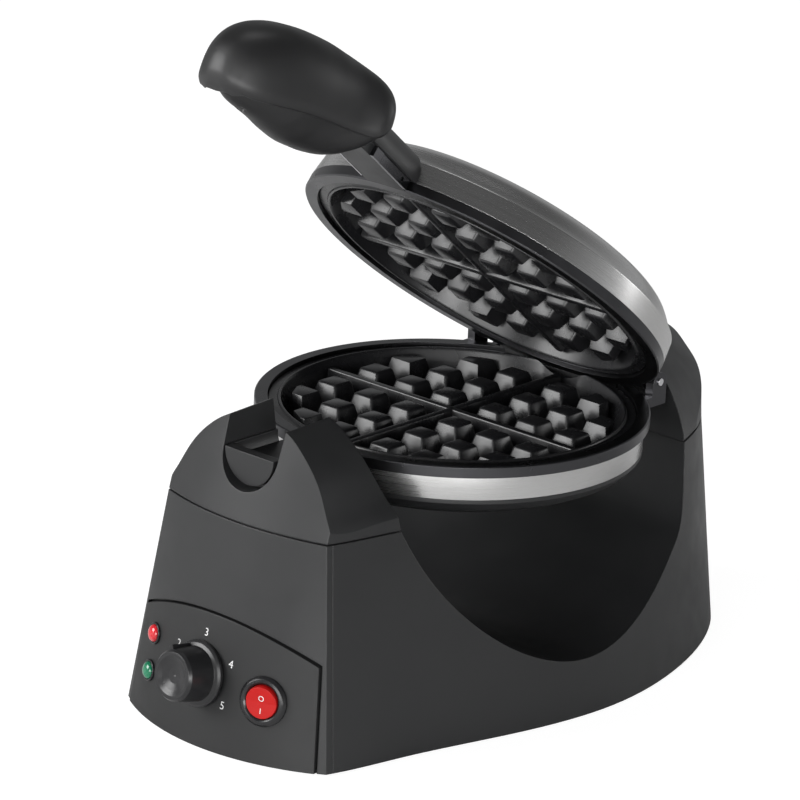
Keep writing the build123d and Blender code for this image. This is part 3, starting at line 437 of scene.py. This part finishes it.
def box_mesh(name, low, high):
    """An upright box between two corners."""
    mesh = bpy.data.meshes.new(name)
    bm = bmesh.new()
    bmesh.ops.create_cube(bm, size=1.0)
    for v in bm.verts:
        for k in range(3):
            v.co[k] = (low[k] + (v.co[k] + 0.5) * (high[k] - low[k])) * MM
    bm.to_mesh(mesh)
    bm.free()
    return mesh


def rod_mesh(name, start, end, radius, turn):
    """A round rod between two points, moved by turn."""
    a = turn @ (Vector(start) * MM)
    b = turn @ (Vector(end) * MM)
    mesh = bpy.data.meshes.new(name)
    bm = bmesh.new()
    bmesh.ops.create_cone(bm, cap_ends=True, segments=ROD_SEGMENTS, radius1=radius * MM, radius2=radius * MM,
                          depth=(b - a).length)
    place = Matrix.Translation((a + b) / 2) @ (b - a).to_track_quat("Z", "Y").to_matrix().to_4x4()
    bmesh.ops.transform(bm, matrix=place, verts=bm.verts)
    bm.to_mesh(mesh)
    bm.free()
    return mesh


def cut_with(obj, meshes):
    """Takes the given meshes away from the piece."""
    cutters = []
    for mesh in meshes:
        cutter = bpy.data.objects.new("cutter", mesh)
        bpy.context.scene.collection.objects.link(cutter)
        cutters.append(cutter)
        mod = obj.modifiers.new("cut", "BOOLEAN")
        mod.operation = "DIFFERENCE"
        mod.solver = "EXACT"
        mod.object = cutter
    graph = bpy.context.evaluated_depsgraph_get()
    result = bpy.data.meshes.new_from_object(obj.evaluated_get(graph))
    obj.modifiers.clear()
    obj.data = result
    for cutter in cutters:
        bpy.data.objects.remove(cutter)
    finish_mesh(result, CUT_SHARP_DEG)


# Lid dome: the CAD dome's profile as one sheet with a rounded crease over its foot

DOME_SHEET = 1.2
DOME_FOOT_R = PAN_R + 0.5
DOME_CREASE_R = 2.2
DOME_CREASE_STEPS = 6
DOME_START = (-0.8, 0.6)
DOME_END = (-1, 0)
DOME_STEPS = 16
# Radius and height over the seat, and how the inner face lies from each point.
DOME_POINTS = (
    ((103.0, 12.0), (-1.0, -0.4)),
    ((92.5, 22.6), (-0.6, -0.8)),
    ((58.0, 30.0), (0.0, -1.0)),
    ((0.0, 35.0), (0.0, -1.0)),
)


def unit(vector):
    vector = np.array(vector, float)
    return vector / np.linalg.norm(vector)


def dome_roof(back):
    """The dome's profile from the crease to the crown, set back from its outer face."""
    points = [np.array((r + back * dr, SEAT_Z + h + back * dh)) for (r, h), (dr, dh) in DOME_POINTS]
    gaps = [np.linalg.norm(points[i + 1] - points[i]) for i in range(len(points) - 1)]
    ways = [unit(DOME_START)]
    for i in range(1, len(points) - 1):
        before = (points[i] - points[i - 1]) / gaps[i - 1]
        after = (points[i + 1] - points[i]) / gaps[i]
        ways.append(unit(before * gaps[i] + after * gaps[i - 1]))
    ways.append(unit(DOME_END))
    roof = []
    for i, gap in enumerate(gaps):
        for k in range(DOME_STEPS):
            spot = cubic(k / DOME_STEPS, points[i], points[i + 1], gap * ways[i], gap * ways[i + 1])
            roof.append(tuple(spot))
    return roof + [tuple(points[-1])]


def make_dome():
    outer = dome_roof(0)
    inner = dome_roof(DOME_SHEET)
    low_part = [(DOME_FOOT_R, SEAT_Z)] + outer[:3]
    crease = rounded(low_part, DOME_CREASE_R, DOME_CREASE_STEPS, closed=False)[1:-1]
    foot = [(DOME_FOOT_R - DOME_SHEET, SEAT_Z), (DOME_FOOT_R, SEAT_Z)]
    outline = foot + crease + outer[2:] + inner[::-1]
    dome = lathe("dome_sheet", outline, STEEL, segments=256, radius=0.0, turn=OPEN, angle=50)
    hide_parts("lid_dome")
    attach(dome, "lid")


# Steel band under the lower rim ring

BAND_R = 101.0
BAND_SHEET = 1.0
BAND_H = 13.0


def make_band():
    top = RIM_Z - RING_H
    low = top - BAND_H
    inside = BAND_R - BAND_SHEET
    outline = [(inside, low), (BAND_R, low), (BAND_R, top), (inside, top)]
    band = lathe("brushed_band", outline, STEEL, segments=256, radius=0.3)
    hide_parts("lower_steel_band")
    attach(band, "lower_half")


# Cooking plates: a dish with a bead round its rim, rounded studs and two crossed bars

PLATE_DEPTH = 16.0
PLATE_RIM_DROP = 2.0
PLATE_FLOOR_T = 5.0
PLATE_FLANGE_T = 2.0
PLATE_CLEARANCE = 0.2
DISH_R = 89.0
DISH_BACK_R = 92.4
DISH_BACK_DROP = 6.5
DISH_BACK_FOOT_IN = 1.0
DISH_FOOT_IN = 3.0
# How far out from the dish each point of the bead is, and how high over the rim.
BEAD = ((2.8, 0.0), (2.3, 1.2), (1.2, 1.2), (0.6, 0.0))
DISH_Z = RIM_Z - PLATE_DEPTH
NOTCH_LOW = (-47, 88.5, 138.9)
NOTCH_HIGH = (47, 106, 150)

STUD_FIRST = 16.5
STUD_PITCH = 26.0
STUD_BASE = 20.0
STUD_TIP = 13.0
STUD_TOP_DROP = 3.0
STUD_FOOT_SINK = 0.5
STUD_EDGE_R = 1.5
STUD_ROWS = 3
STUD_WALL_R = 84.5
STUD_LAST_R = 75.0
WALL_FACETS = 24

FLAT_RAD = 0.02
NEAR_FOOT = 1.0
CUT_SLACK = 1e-5

BAR_SHORT = 2.5
BAR_H = 12.0
BAR_FOOT = 3.5
BAR_CREST = 1.9
BAR_FOOT_SINK = 0.3
BAR_EDGE_R = 0.9


def dish_outline():
    rim = RIM_Z - PLATE_RIM_DROP
    flange = rim - PLATE_FLANGE_T
    edge = PAN_R - RING_W - PLATE_CLEARANCE
    under = DISH_Z - PLATE_FLOOR_T
    back = [(0, under), (DISH_R - DISH_BACK_FOOT_IN, under), (DISH_BACK_R, RIM_Z - DISH_BACK_DROP)]
    ledge = [(DISH_BACK_R, flange), (edge, flange), (edge, rim)]
    bead = [(DISH_R + out, rim + rise) for out, rise in BEAD]
    return back + ledge + bead + [(DISH_R - DISH_FOOT_IN, DISH_Z), (0, DISH_Z)]


def clip_to_wall(bm, x, y):
    """Cuts a stud back to the round wall of the dish, with flat facets."""
    for k in range(WALL_FACETS):
        a = 2 * pi * k / WALL_FACETS
        out = Vector((cos(a), sin(a), 0))
        if out.x * x + out.y * y < 0:
            continue
        geom = bm.verts[:] + bm.edges[:] + bm.faces[:]
        cut = bmesh.ops.bisect_plane(bm, geom=geom, dist=CUT_SLACK, clear_outer=True,
                                     plane_co=out * STUD_WALL_R, plane_no=out)
        rim = [e for e in cut["geom_cut"] if isinstance(e, bmesh.types.BMEdge)]
        if rim:
            bmesh.ops.contextual_create(bm, geom=rim)


def stud(x, y):
    """One tapered stud with rounded corners and a sharp foot, sunk a little into the dish."""
    foot = DISH_Z - STUD_FOOT_SINK
    ends = []
    for z, width in ((foot, STUD_BASE), (RIM_Z - STUD_TOP_DROP, STUD_TIP)):
        corners = ((-1, -1), (1, -1), (1, 1), (-1, 1))
        ends.append([(x + sx * width / 2, y + sy * width / 2, z) for sx, sy in corners])
    bm = block(*ends)
    half = STUD_BASE / 2
    if sqrt((abs(x) + half) ** 2 + (abs(y) + half) ** 2) > STUD_WALL_R:
        clip_to_wall(bm, x, y)
    bmesh.ops.dissolve_limit(bm, angle_limit=FLAT_RAD, verts=bm.verts, edges=bm.edges)
    edges = [e for e in bm.edges if max(v.co.z for v in e.verts) > foot + NEAR_FOOT]
    round_edges(bm, edges, STUD_EDGE_R)
    return bm


def add_studs(bm):
    """Rows of studs, alike in the four quarters, but none whose inner corner is near the wall."""
    places = [STUD_FIRST + i * STUD_PITCH for i in range(STUD_ROWS)]
    half = STUD_BASE / 2
    for x in places:
        for y in places:
            if sqrt((x - half) ** 2 + (y - half) ** 2) >= STUD_LAST_R:
                continue
            for sx in (-1, 1):
                for sy in (-1, 1):
                    move_into(bm, stud(sx * x, sy * y))


def add_bars(bm):
    """Two bars that cross in the middle and part the dish into quarters."""
    reach = DISH_R - BAR_SHORT
    foot = DISH_Z - BAR_FOOT_SINK
    crest = DISH_Z + BAR_H
    section = ((-BAR_FOOT, foot), (BAR_FOOT, foot), (BAR_CREST, crest), (-BAR_CREST, crest))
    for along_x in (False, True):
        ends = []
        for s in (-reach, reach):
            ends.append([(s, w, h) if along_x else (w, s, h) for w, h in section])
        bar = block(*ends)
        crest_edges = [e for e in bar.edges if min(v.co.z for v in e.verts) > DISH_Z + NEAR_FOOT]
        round_edges(bar, crest_edges, BAR_EDGE_R)
        move_into(bm, bar)


def turn_over(bm):
    """Turns a plate over from the lower half's place to its place in the open lid."""
    bmesh.ops.scale(bm, vec=(1, 1, -1), verts=bm.verts)
    bmesh.ops.translate(bm, vec=(0, 0, (2 * RIM_Z + LIP_GAP) * MM), verts=bm.verts)
    bmesh.ops.transform(bm, matrix=OPEN, verts=bm.verts)


def make_plate(name, node, body, upper):
    plate = lathe(name, dish_outline(), NONSTICK, segments=160, radius=1.0)
    if not upper:
        cut_with(plate, [box_mesh("notch", NOTCH_LOW, NOTCH_HIGH)])
    bm = bmesh.new()
    bm.from_mesh(plate.data)
    bmesh.ops.scale(bm, vec=(1 / MM, 1 / MM, 1 / MM), verts=bm.verts)
    add_studs(bm)
    add_bars(bm)
    bmesh.ops.scale(bm, vec=(MM, MM, MM), verts=bm.verts)
    if upper:
        turn_over(bm)
    bm.to_mesh(plate.data)
    bm.free()
    finish_mesh(plate.data, CUT_SHARP_DEG)
    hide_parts(node)
    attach(plate, body)


# Handle: a rounded top shell with a lip, and a soft grip that swells out of it

DROOP = radians(17.2)
ROOT_Y = -164.0
ROOT_Z = 144.45
# Takes a point (across, height, distance along the handle) to its place on the shut lid.
HANDLE = Matrix((
    (1, 0, 0, 0),
    (0, -sin(DROOP), -cos(DROOP), ROOT_Y * MM),
    (0, cos(DROOP), -sin(DROOP), ROOT_Z * MM),
    (0, 0, 0, 1),
))
# Distance along the handle, half width, underside and top.
HANDLE_STATIONS = (
    (-0.8, 39.6, 1.6, 32.8), (0, 40.4, 1.0, 33.3), (2, 41.3, -0.6, 33.9), (5, 42.3, -3.2, 34.8),
    (8, 41.9, -4.8, 35.5), (12, 39.4, -5.6, 36.6), (20, 35.2, -5.4, 38.4), (33, 32.2, -4.8, 40.4),
    (47, 30.2, -4.7, 41.0), (58, 28.1, -5.0, 40.3), (69, 25.0, -5.4, 38.1), (78.6, 21.0, -5.0, 34.4),
    (85, 17.0, -3.4, 30.2), (89.8, 12.5, -0.2, 25.2), (92.4, 8.0, 3.2, 20.2), (93.6, 4.6, 6.4, 16.0),
)
# Distance along the handle and how far the grip hangs under it.
KEEL_DEPTHS = (
    (1.6, 6.0), (2.4, 9.0), (3.6, 12.0), (6, 14.0), (9, 14.9), (15, 15.4), (30, 15.0), (45, 12.2),
    (58, 8.6), (70, 6.0), (78, 4.0), (83, 1.5), (86.5, -2.0),
)
# Distance along the handle and how far the grip's edge is set up into the shell.
EDGE_RECESSES = ((-0.8, 0.5), (8, 0.6), (30, 1.5), (55, 5.0), (76, 9.0), (84, 8.0), (91, 0.6))
MIDDLE_SHARE = 0.3
ROUNDNESS = 0.8
LIP_INSET = 2.6
LIP_INSET_SHARE = 0.3
SHELL_STEPS = 64
GRIP_STEPS = 48
SHELL_WALL = 1.0
CEILING_GAP = 1.2
# How far in from the lip's edge its two rounding points are, and how high.
LIP_ROLL = ((0.5, -0.15), (0.9, 0.2))
# The shell's mouth shuts over a short stretch before the tip.
MOUTH_END = 84.5
MOUTH_CLOSING = 2.0
MOUTH_NARROWING = 0.4
MOUTH_SHUT_SHARE = 0.96
ROOT_SOFTENING = (2.4, 1.4, 0.7, 0.2)
ROOT_CENTRE_H = 17.0
ROOT_LEAST_R = 8.0
TIP_CENTRE_H = 9.5
TIP_SHARE = 0.45
TIP_END = 93.95
GRIP_GAP = 1.1
GRIP_ROOF = (0.9, 1.0)
# The grip's bell shape: its power at the root, and what it gains over two stretches.
BELL_POWER = 0.75
BELL_SWELL, SWELL_END = 0.75, 30.0
BELL_SHARPENING, SHARPENING_START, SHARPENING_SPAN = 1.3, 45.0, 40.0
SCREW_HOLE_R = 3.6
HOLE_REACH = (-40, -2)
SCREW_STATIONS = (12.0, 22.0, 68.0)
# Where sections are taken, closer together at the handle's ends.
SHELL_SECTIONS = [-0.8, -0.5, 0.0, 0.8, 1.8, 2.9] + [4 + 2.0 * k for k in range(40)]
SHELL_SECTIONS += [84, 86, 88, 89.5, 90.8, 91.8, 92.6, 93.2, 93.6]
GRIP_SECTIONS = [1.6, 1.9, 2.3, 2.9, 3.6] + [4.5 + 2.0 * k for k in range(40)] + [84.0, 85.0]


def signed_power(value, power):
    return abs(value) ** power * (1 if value > 0 else -1)


def station(s):
    """Half width, underside, top and middle height of the handle at a station."""
    half, low, high = [column_value(HANDLE_STATIONS, s, k) for k in (1, 2, 3)]
    return half, low, high, low + (high - low) * MIDDLE_SHARE


def lip_inset(half):
    """How far the lip's edge stands in from the widest place."""
    return min(LIP_INSET, half * LIP_INSET_SHARE)


def lip_edge(s):
    """Angle and height of the shell's lip at a station."""
    half, low, _, mid = station(s)
    angle = np.arccos(((half - lip_inset(half)) / half) ** (1 / ROUNDNESS))
    return angle, mid - (mid - low) * sin(angle) ** ROUNDNESS


def shell_ring(s):
    """The shell's section at a station: its outer face, then the wall inside the lip."""
    half, low, high, mid = station(s)
    lip, lip_h = lip_edge(s)
    ring = []
    for i in range(SHELL_STEPS + 1):
        a = -lip + (pi + 2 * lip) * i / SHELL_STEPS
        reach = (high - mid) if sin(a) > 0 else (mid - low)
        rise = reach * signed_power(sin(a), ROUNDNESS)
        ring.append((half * signed_power(cos(a), ROUNDNESS), mid + rise, s))
    edge = half - lip_inset(half)
    ceiling = lip_h + column_value(EDGE_RECESSES, s, 1) + CEILING_GAP
    shut = min(1.0, max(0.0, (s - MOUTH_END) / MOUTH_CLOSING))
    closed_h = mid - (mid - low) * MOUTH_SHUT_SHARE
    wall = [(edge - inset, lip_h + rise) for inset, rise in LIP_ROLL] + [(edge - SHELL_WALL, ceiling)]
    wall = [(x * (1 - MOUTH_NARROWING * shut), h + shut * (closed_h - h)) for x, h in wall]
    inner = [(-x, h) for x, h in wall] + [(0, ceiling + shut * (low - ceiling))] + wall[::-1]
    return ring + [(x, h, s) for x, h in inner]


def grip_ring(s):
    """The grip's section at a station: a bell shape hung under the shell's lip."""
    half = station(s)[0]
    width = half - lip_inset(half) - GRIP_GAP
    edge = lip_edge(s)[1] + column_value(EDGE_RECESSES, s, 1)
    depth = column_value(KEEL_DEPTHS, s, 1)
    swell = BELL_SWELL * min(1.0, s / SWELL_END)
    sharpening = BELL_SHARPENING * max(0.0, (s - SHARPENING_START) / SHARPENING_SPAN)
    ring = []
    for i in range(GRIP_STEPS + 1):
        u = -1 + 2 * i / GRIP_STEPS
        bell = (1 - u * u) ** (BELL_POWER + swell + sharpening)
        ring.append((width * u, edge - (depth + edge) * bell, s))
    side, middle = GRIP_ROOF
    return ring + [(width, edge + side, s), (0, edge + middle, s), (-width, edge + side, s)]


def soften_root(rings):
    """Draws the first rings in, so that the shell's root ends in a soft edge."""
    for ring, inset in zip(rings, ROOT_SOFTENING):
        for i, (x, h, s) in enumerate(ring):
            rise = h - ROOT_CENTRE_H
            scale = 1 - inset / max(sqrt(x * x + rise * rise), ROOT_LEAST_R)
            ring[i] = (x * scale, ROOT_CENTRE_H + rise * scale, s)


def make_handle_shell():
    rings = [shell_ring(s) for s in SHELL_SECTIONS]
    soften_root(rings)
    tip = [(x * TIP_SHARE, TIP_CENTRE_H + (h - TIP_CENTRE_H) * TIP_SHARE, TIP_END) for x, h, _ in rings[-1]]
    rings.append(tip)
    shell = skin("handle_top_shell", rings, GRIP, OPEN @ HANDLE, angle=55)
    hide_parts("handle_shell")
    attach(shell, "lid")


def make_handle_grip():
    turn = OPEN @ HANDLE
    grip = skin("handle_soft_grip", [grip_ring(s) for s in GRIP_SECTIONS], GRIP, turn, angle=50)
    low, high = HOLE_REACH
    cut_with(grip, [rod_mesh("hole", (0, low, s), (0, high, s), SCREW_HOLE_R, turn) for s in SCREW_STATIONS])
    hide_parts("handle_grip")
    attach(grip, "lid")


# Dial numbers and switch marks, laid on the curved faces as a thin printed layer

FONT_PER_HEIGHT = 1.38
PRINT_LIFT_M = 0.00004
RAY_START_M = 0.03
DIAL_NUMBERS = 5
DIAL_NUMBER_R = 21.5
DIAL_NUMBER_H = 4.2
DIAL_FIRST_DEG = 214
DIAL_STEP_DEG = 62
SWITCH_MARK_H = 3.0
SWITCH_MARKS = (("O", 1.6), ("I", -4.9))
SWITCH_FACING = (0.2736, -0.9447, 0.1805)


def upright_axes(facing):
    """Right, up and outward directions of a face that looks a given way."""
    normal = Vector(facing).normalized()
    right = Vector((0, 0, 1)).cross(normal).normalized()
    return right, normal.cross(right), normal


def lay_on(mesh, node, centre, axes):
    """Moves flat points, x right and y up, onto the surface of a CAD node."""
    right, up, normal = axes
    target = frame["nodes"][node]
    inverse = target.matrix_world.inverted()
    for v in mesh.vertices:
        flat = centre + (right * v.co.x + up * v.co.y) * MM
        start = inverse @ (flat + normal * RAY_START_M)
        hit, place = target.ray_cast(start, inverse.to_3x3() @ -normal)[:2]
        v.co = target.matrix_world @ place + normal * PRINT_LIFT_M if hit else flat


def glyph(name, letter, height, spot, node, centre, axes):
    """One printed figure on a face."""
    curve = bpy.data.curves.new(name, "FONT")
    curve.body = letter
    curve.size = height * FONT_PER_HEIGHT
    curve.align_x = "CENTER"
    curve.align_y = "CENTER"
    curve.resolution_u = 6
    text = bpy.data.objects.new(name, curve)
    bpy.context.scene.collection.objects.link(text)
    graph = bpy.context.evaluated_depsgraph_get()
    mesh = bpy.data.meshes.new_from_object(text.evaluated_get(graph))
    bpy.data.objects.remove(text)
    for v in mesh.vertices:
        v.co.x += spot[0]
        v.co.y += spot[1]
    lay_on(mesh, node, centre, axes)
    for poly in mesh.polygons:
        poly.use_smooth = True
    return new_object(name, mesh, PRINT)


def make_dial_numbers():
    centre = Vector(JOINTS["dial_turn"]["pos_m"])
    axes = upright_axes(JOINTS["dial_turn"]["axis"])
    for i in range(DIAL_NUMBERS):
        a = radians(DIAL_FIRST_DEG - DIAL_STEP_DEG * i)
        spot = (DIAL_NUMBER_R * cos(a), DIAL_NUMBER_R * sin(a))
        name = "dial_number_%d" % (i + 1)
        mark = glyph(name, str(i + 1), DIAL_NUMBER_H, spot, "control_panel", centre, axes)
        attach(mark, "stand")


def make_switch_marks():
    centre = Vector(JOINTS["rocker_tilt"]["pos_m"])
    axes = upright_axes(SWITCH_FACING)
    for letter, rise in SWITCH_MARKS:
        name = "switch_mark_" + letter
        mark = glyph(name, letter, SWITCH_MARK_H, (0, rise), "power_rocker", centre, axes)
        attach(mark, "rocker")


# Lamps: domed lenses, each in a thin dark ring

LENS_R = 4.5
LENS_ROOT = 1.5
LENS_WALL = 0.9
LENS_RISE = 2.6
LENS_STEPS = 12
LAMP_SEGMENTS = 64
LAMP_RING = ((4.55, -1.0), (5.7, -1.0), (5.7, 0.9), (5.3, 1.3), (4.55, 1.1))
# Colour, place on the panel, way that the panel faces there and material.
LAMPS = (
    ("red", (-46.28, -170.19, 44.63), (-0.3462, -0.9249, 0.1572), RED_LENS),
    ("green", (-46.28, -173.54, 25.13), (-0.3548, -0.9211, 0.1602), GREEN_LENS),
)


def make_lamp(colour, place, facing, mat):
    tilt = Vector(facing).to_track_quat("Z", "Y").to_matrix().to_4x4()
    turn = Matrix.Translation(Vector(place) * MM) @ tilt
    angles = [pi / 2 * k / LENS_STEPS for k in range(LENS_STEPS + 1)]
    curve = [(LENS_R * cos(t), LENS_WALL + LENS_RISE * sin(t)) for t in angles]
    outline = [(0, -LENS_ROOT), (LENS_R, -LENS_ROOT)] + curve
    lens = lathe(colour + "_lens", outline, mat, LAMP_SEGMENTS, radius=0.0, turn=turn, angle=60)
    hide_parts(colour + "_lamp_lens")
    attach(lens, "stand")
    ring = lathe(colour + "_lamp_ring", LAMP_RING, SWITCH, LAMP_SEGMENTS, radius=0.2, turn=turn)
    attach(ring, "stand")


# Bright edge strip along the underside of the lid's arm

STRIP_LOW = (-14.3, -142.0, 145.2)
STRIP_HIGH = (-12.6, -108.0, 147.2)
STRIP_EDGE_R = 0.4


def make_arm_edge():
    mesh = box_mesh("arm_edge_strip", STRIP_LOW, STRIP_HIGH)
    bm = bmesh.new()
    bm.from_mesh(mesh)
    bmesh.ops.bevel(bm, geom=bm.edges[:], offset=STRIP_EDGE_R * MM, segments=2, affect="EDGES")
    bmesh.ops.transform(bm, matrix=OPEN, verts=bm.verts)
    bm.to_mesh(mesh)
    bm.free()
    finish_mesh(mesh)
    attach(new_object("arm_edge_strip", mesh, CHROME), "lid")


# Stage, lights and camera. Places and sizes are in metres and angles in radians, but for the lens and sensor,
# which are in millimetres.

FLOOR_HALF_M = 6.0
FLOOR_SHADE_SCALE = 3.0
FLOOR_GLOW = 1.28
FLOOR_GLOW_SHARE = 0.72
SKY_COLOUR = (0.98, 0.99, 1.0, 1)
WHITE = (1, 1, 1, 1)
SKY_LOW, SKY_HIGH = 0.40, 0.09
SKY_START, SKY_STOP = 0.10, 0.62
# Name, place, aim, width, height and power.
LIGHTS = (
    ("key_left", (-1.5, -2.0, 1.3), (0, -0.05, 0.10), 1.5, 1.3, 58),
    ("front_fill", (0.9, -2.6, 0.7), (0, -0.1, 0.1), 1.4, 1.1, 30),
    ("right_fill", (2.3, -1.9, 0.45), (0, 0.0, 0.06), 1.3, 0.7, 34),
    ("overhead", (-0.3, 0.5, 2.3), (0, 0, 0.1), 1.2, 0.8, 5),
    ("right_back", (1.6, 2.2, 0.5), (0, 0.05, 0.14), 1.0, 0.8, 7),
)
CAMERA_AZIMUTH, CAMERA_ELEVATION, CAMERA_ROLL = 0.7155, 0.3281, 0.05
CAMERA_DISTANCE_M = 2.5964
CAMERA_TARGET_M = Vector((0.01348, -0.05735, 0.16151))
CAMERA_LENS = 227.556
CAMERA_SENSOR = 36.0


def area_light(name, place, aim, width, height, power):
    data = bpy.data.lights.new(name, "AREA")
    data.energy = power
    data.shape = "RECTANGLE"
    data.size = width
    data.size_y = height
    obj = bpy.data.objects.new(name, data)
    obj.location = place
    obj.rotation_mode = "QUATERNION"
    obj.rotation_quaternion = (Vector(aim) - Vector(place)).to_track_quat("-Z", "Y")
    bpy.context.scene.collection.objects.link(obj)


def floor_material():
    """A matt white that also glows a little for the camera, so that it meets the backdrop."""
    mat, nodes, links, shader = new_material("floor_white")
    coord = nodes.new("ShaderNodeTexCoord").outputs["Object"]
    shade = noise(nodes, links, coord, FLOOR_SHADE_SCALE, detail=2.0)
    tone = colour_mix(nodes, links, shade, (0.90, 0.90, 0.90), (0.92, 0.92, 0.92))
    links.new(tone, shader.inputs["Base Color"])
    shader.inputs["Roughness"].default_value = 0.9
    path = nodes.new("ShaderNodeLightPath")
    share = nodes.new("ShaderNodeMath")
    share.operation = "MULTIPLY"
    share.inputs[1].default_value = FLOOR_GLOW_SHARE
    links.new(path.outputs["Is Camera Ray"], share.inputs[0])
    glow = nodes.new("ShaderNodeEmission")
    glow.inputs["Strength"].default_value = FLOOR_GLOW
    mix = nodes.new("ShaderNodeMixShader")
    links.new(share.outputs[0], mix.inputs[0])
    links.new(shader.outputs[0], mix.inputs[1])
    links.new(glow.outputs[0], mix.inputs[2])
    links.new(mix.outputs[0], nodes["Material Output"].inputs["Surface"])
    return mat


def make_floor():
    mesh = bpy.data.meshes.new("floor")
    r = FLOOR_HALF_M
    mesh.from_pydata([(-r, -r, 0), (r, -r, 0), (r, r, 0), (-r, r, 0)], [], [(0, 1, 2, 3)])
    new_object("floor", mesh, floor_material())


def make_world():
    """A soft sky that is brighter low down, and plain white for the camera."""
    world = bpy.data.worlds.new("studio")
    world.use_nodes = True
    nodes, links = world.node_tree.nodes, world.node_tree.links
    nodes.clear()
    coord = nodes.new("ShaderNodeTexCoord")
    split = nodes.new("ShaderNodeSeparateXYZ")
    links.new(coord.outputs["Generated"], split.inputs[0])
    soft = nodes.new("ShaderNodeBackground")
    soft.inputs["Color"].default_value = SKY_COLOUR
    level = ramp(nodes, links, split.outputs["Z"], SKY_LOW, SKY_HIGH, SKY_START, SKY_STOP)
    links.new(level, soft.inputs["Strength"])
    white = nodes.new("ShaderNodeBackground")
    white.inputs["Color"].default_value = WHITE
    white.inputs["Strength"].default_value = 1.0
    path = nodes.new("ShaderNodeLightPath")
    mix = nodes.new("ShaderNodeMixShader")
    links.new(path.outputs["Is Camera Ray"], mix.inputs[0])
    links.new(soft.outputs[0], mix.inputs[1])
    links.new(white.outputs[0], mix.inputs[2])
    out = nodes.new("ShaderNodeOutputWorld")
    links.new(mix.outputs[0], out.inputs["Surface"])
    bpy.context.scene.world = world


def make_camera():
    az, el, roll = CAMERA_AZIMUTH, CAMERA_ELEVATION, CAMERA_ROLL
    back = Vector((sin(az) * cos(el), -cos(az) * cos(el), sin(el)))
    right = Vector((cos(az), sin(az), 0))
    up = back.cross(right)
    across = cos(roll) * right + sin(roll) * up
    above = -sin(roll) * right + cos(roll) * up
    data = bpy.data.cameras.new("camera")
    data.lens = CAMERA_LENS
    data.sensor_width = CAMERA_SENSOR
    data.clip_start = 0.1
    data.clip_end = 50.0
    camera = bpy.data.objects.new("camera", data)
    turn = Matrix((across, above, back)).transposed().to_4x4()
    camera.matrix_world = Matrix.Translation(CAMERA_TARGET_M + back * CAMERA_DISTANCE_M) @ turn
    bpy.context.scene.collection.objects.link(camera)
    bpy.context.scene.camera = camera


dress_frame()
make_dome()
make_band()
make_plate("lower_plate", "lower_cooking_plate", "lower_half", upper=False)
make_plate("upper_plate", "upper_cooking_plate", "lid", upper=True)
make_handle_shell()
make_handle_grip()
make_dial_numbers()
make_switch_marks()
for lamp in LAMPS:
    make_lamp(*lamp)
make_arm_edge()

make_floor()
make_world()
make_camera()
for light in LIGHTS:
    area_light(*light)

bpy.context.scene.view_settings.view_transform = "Standard"
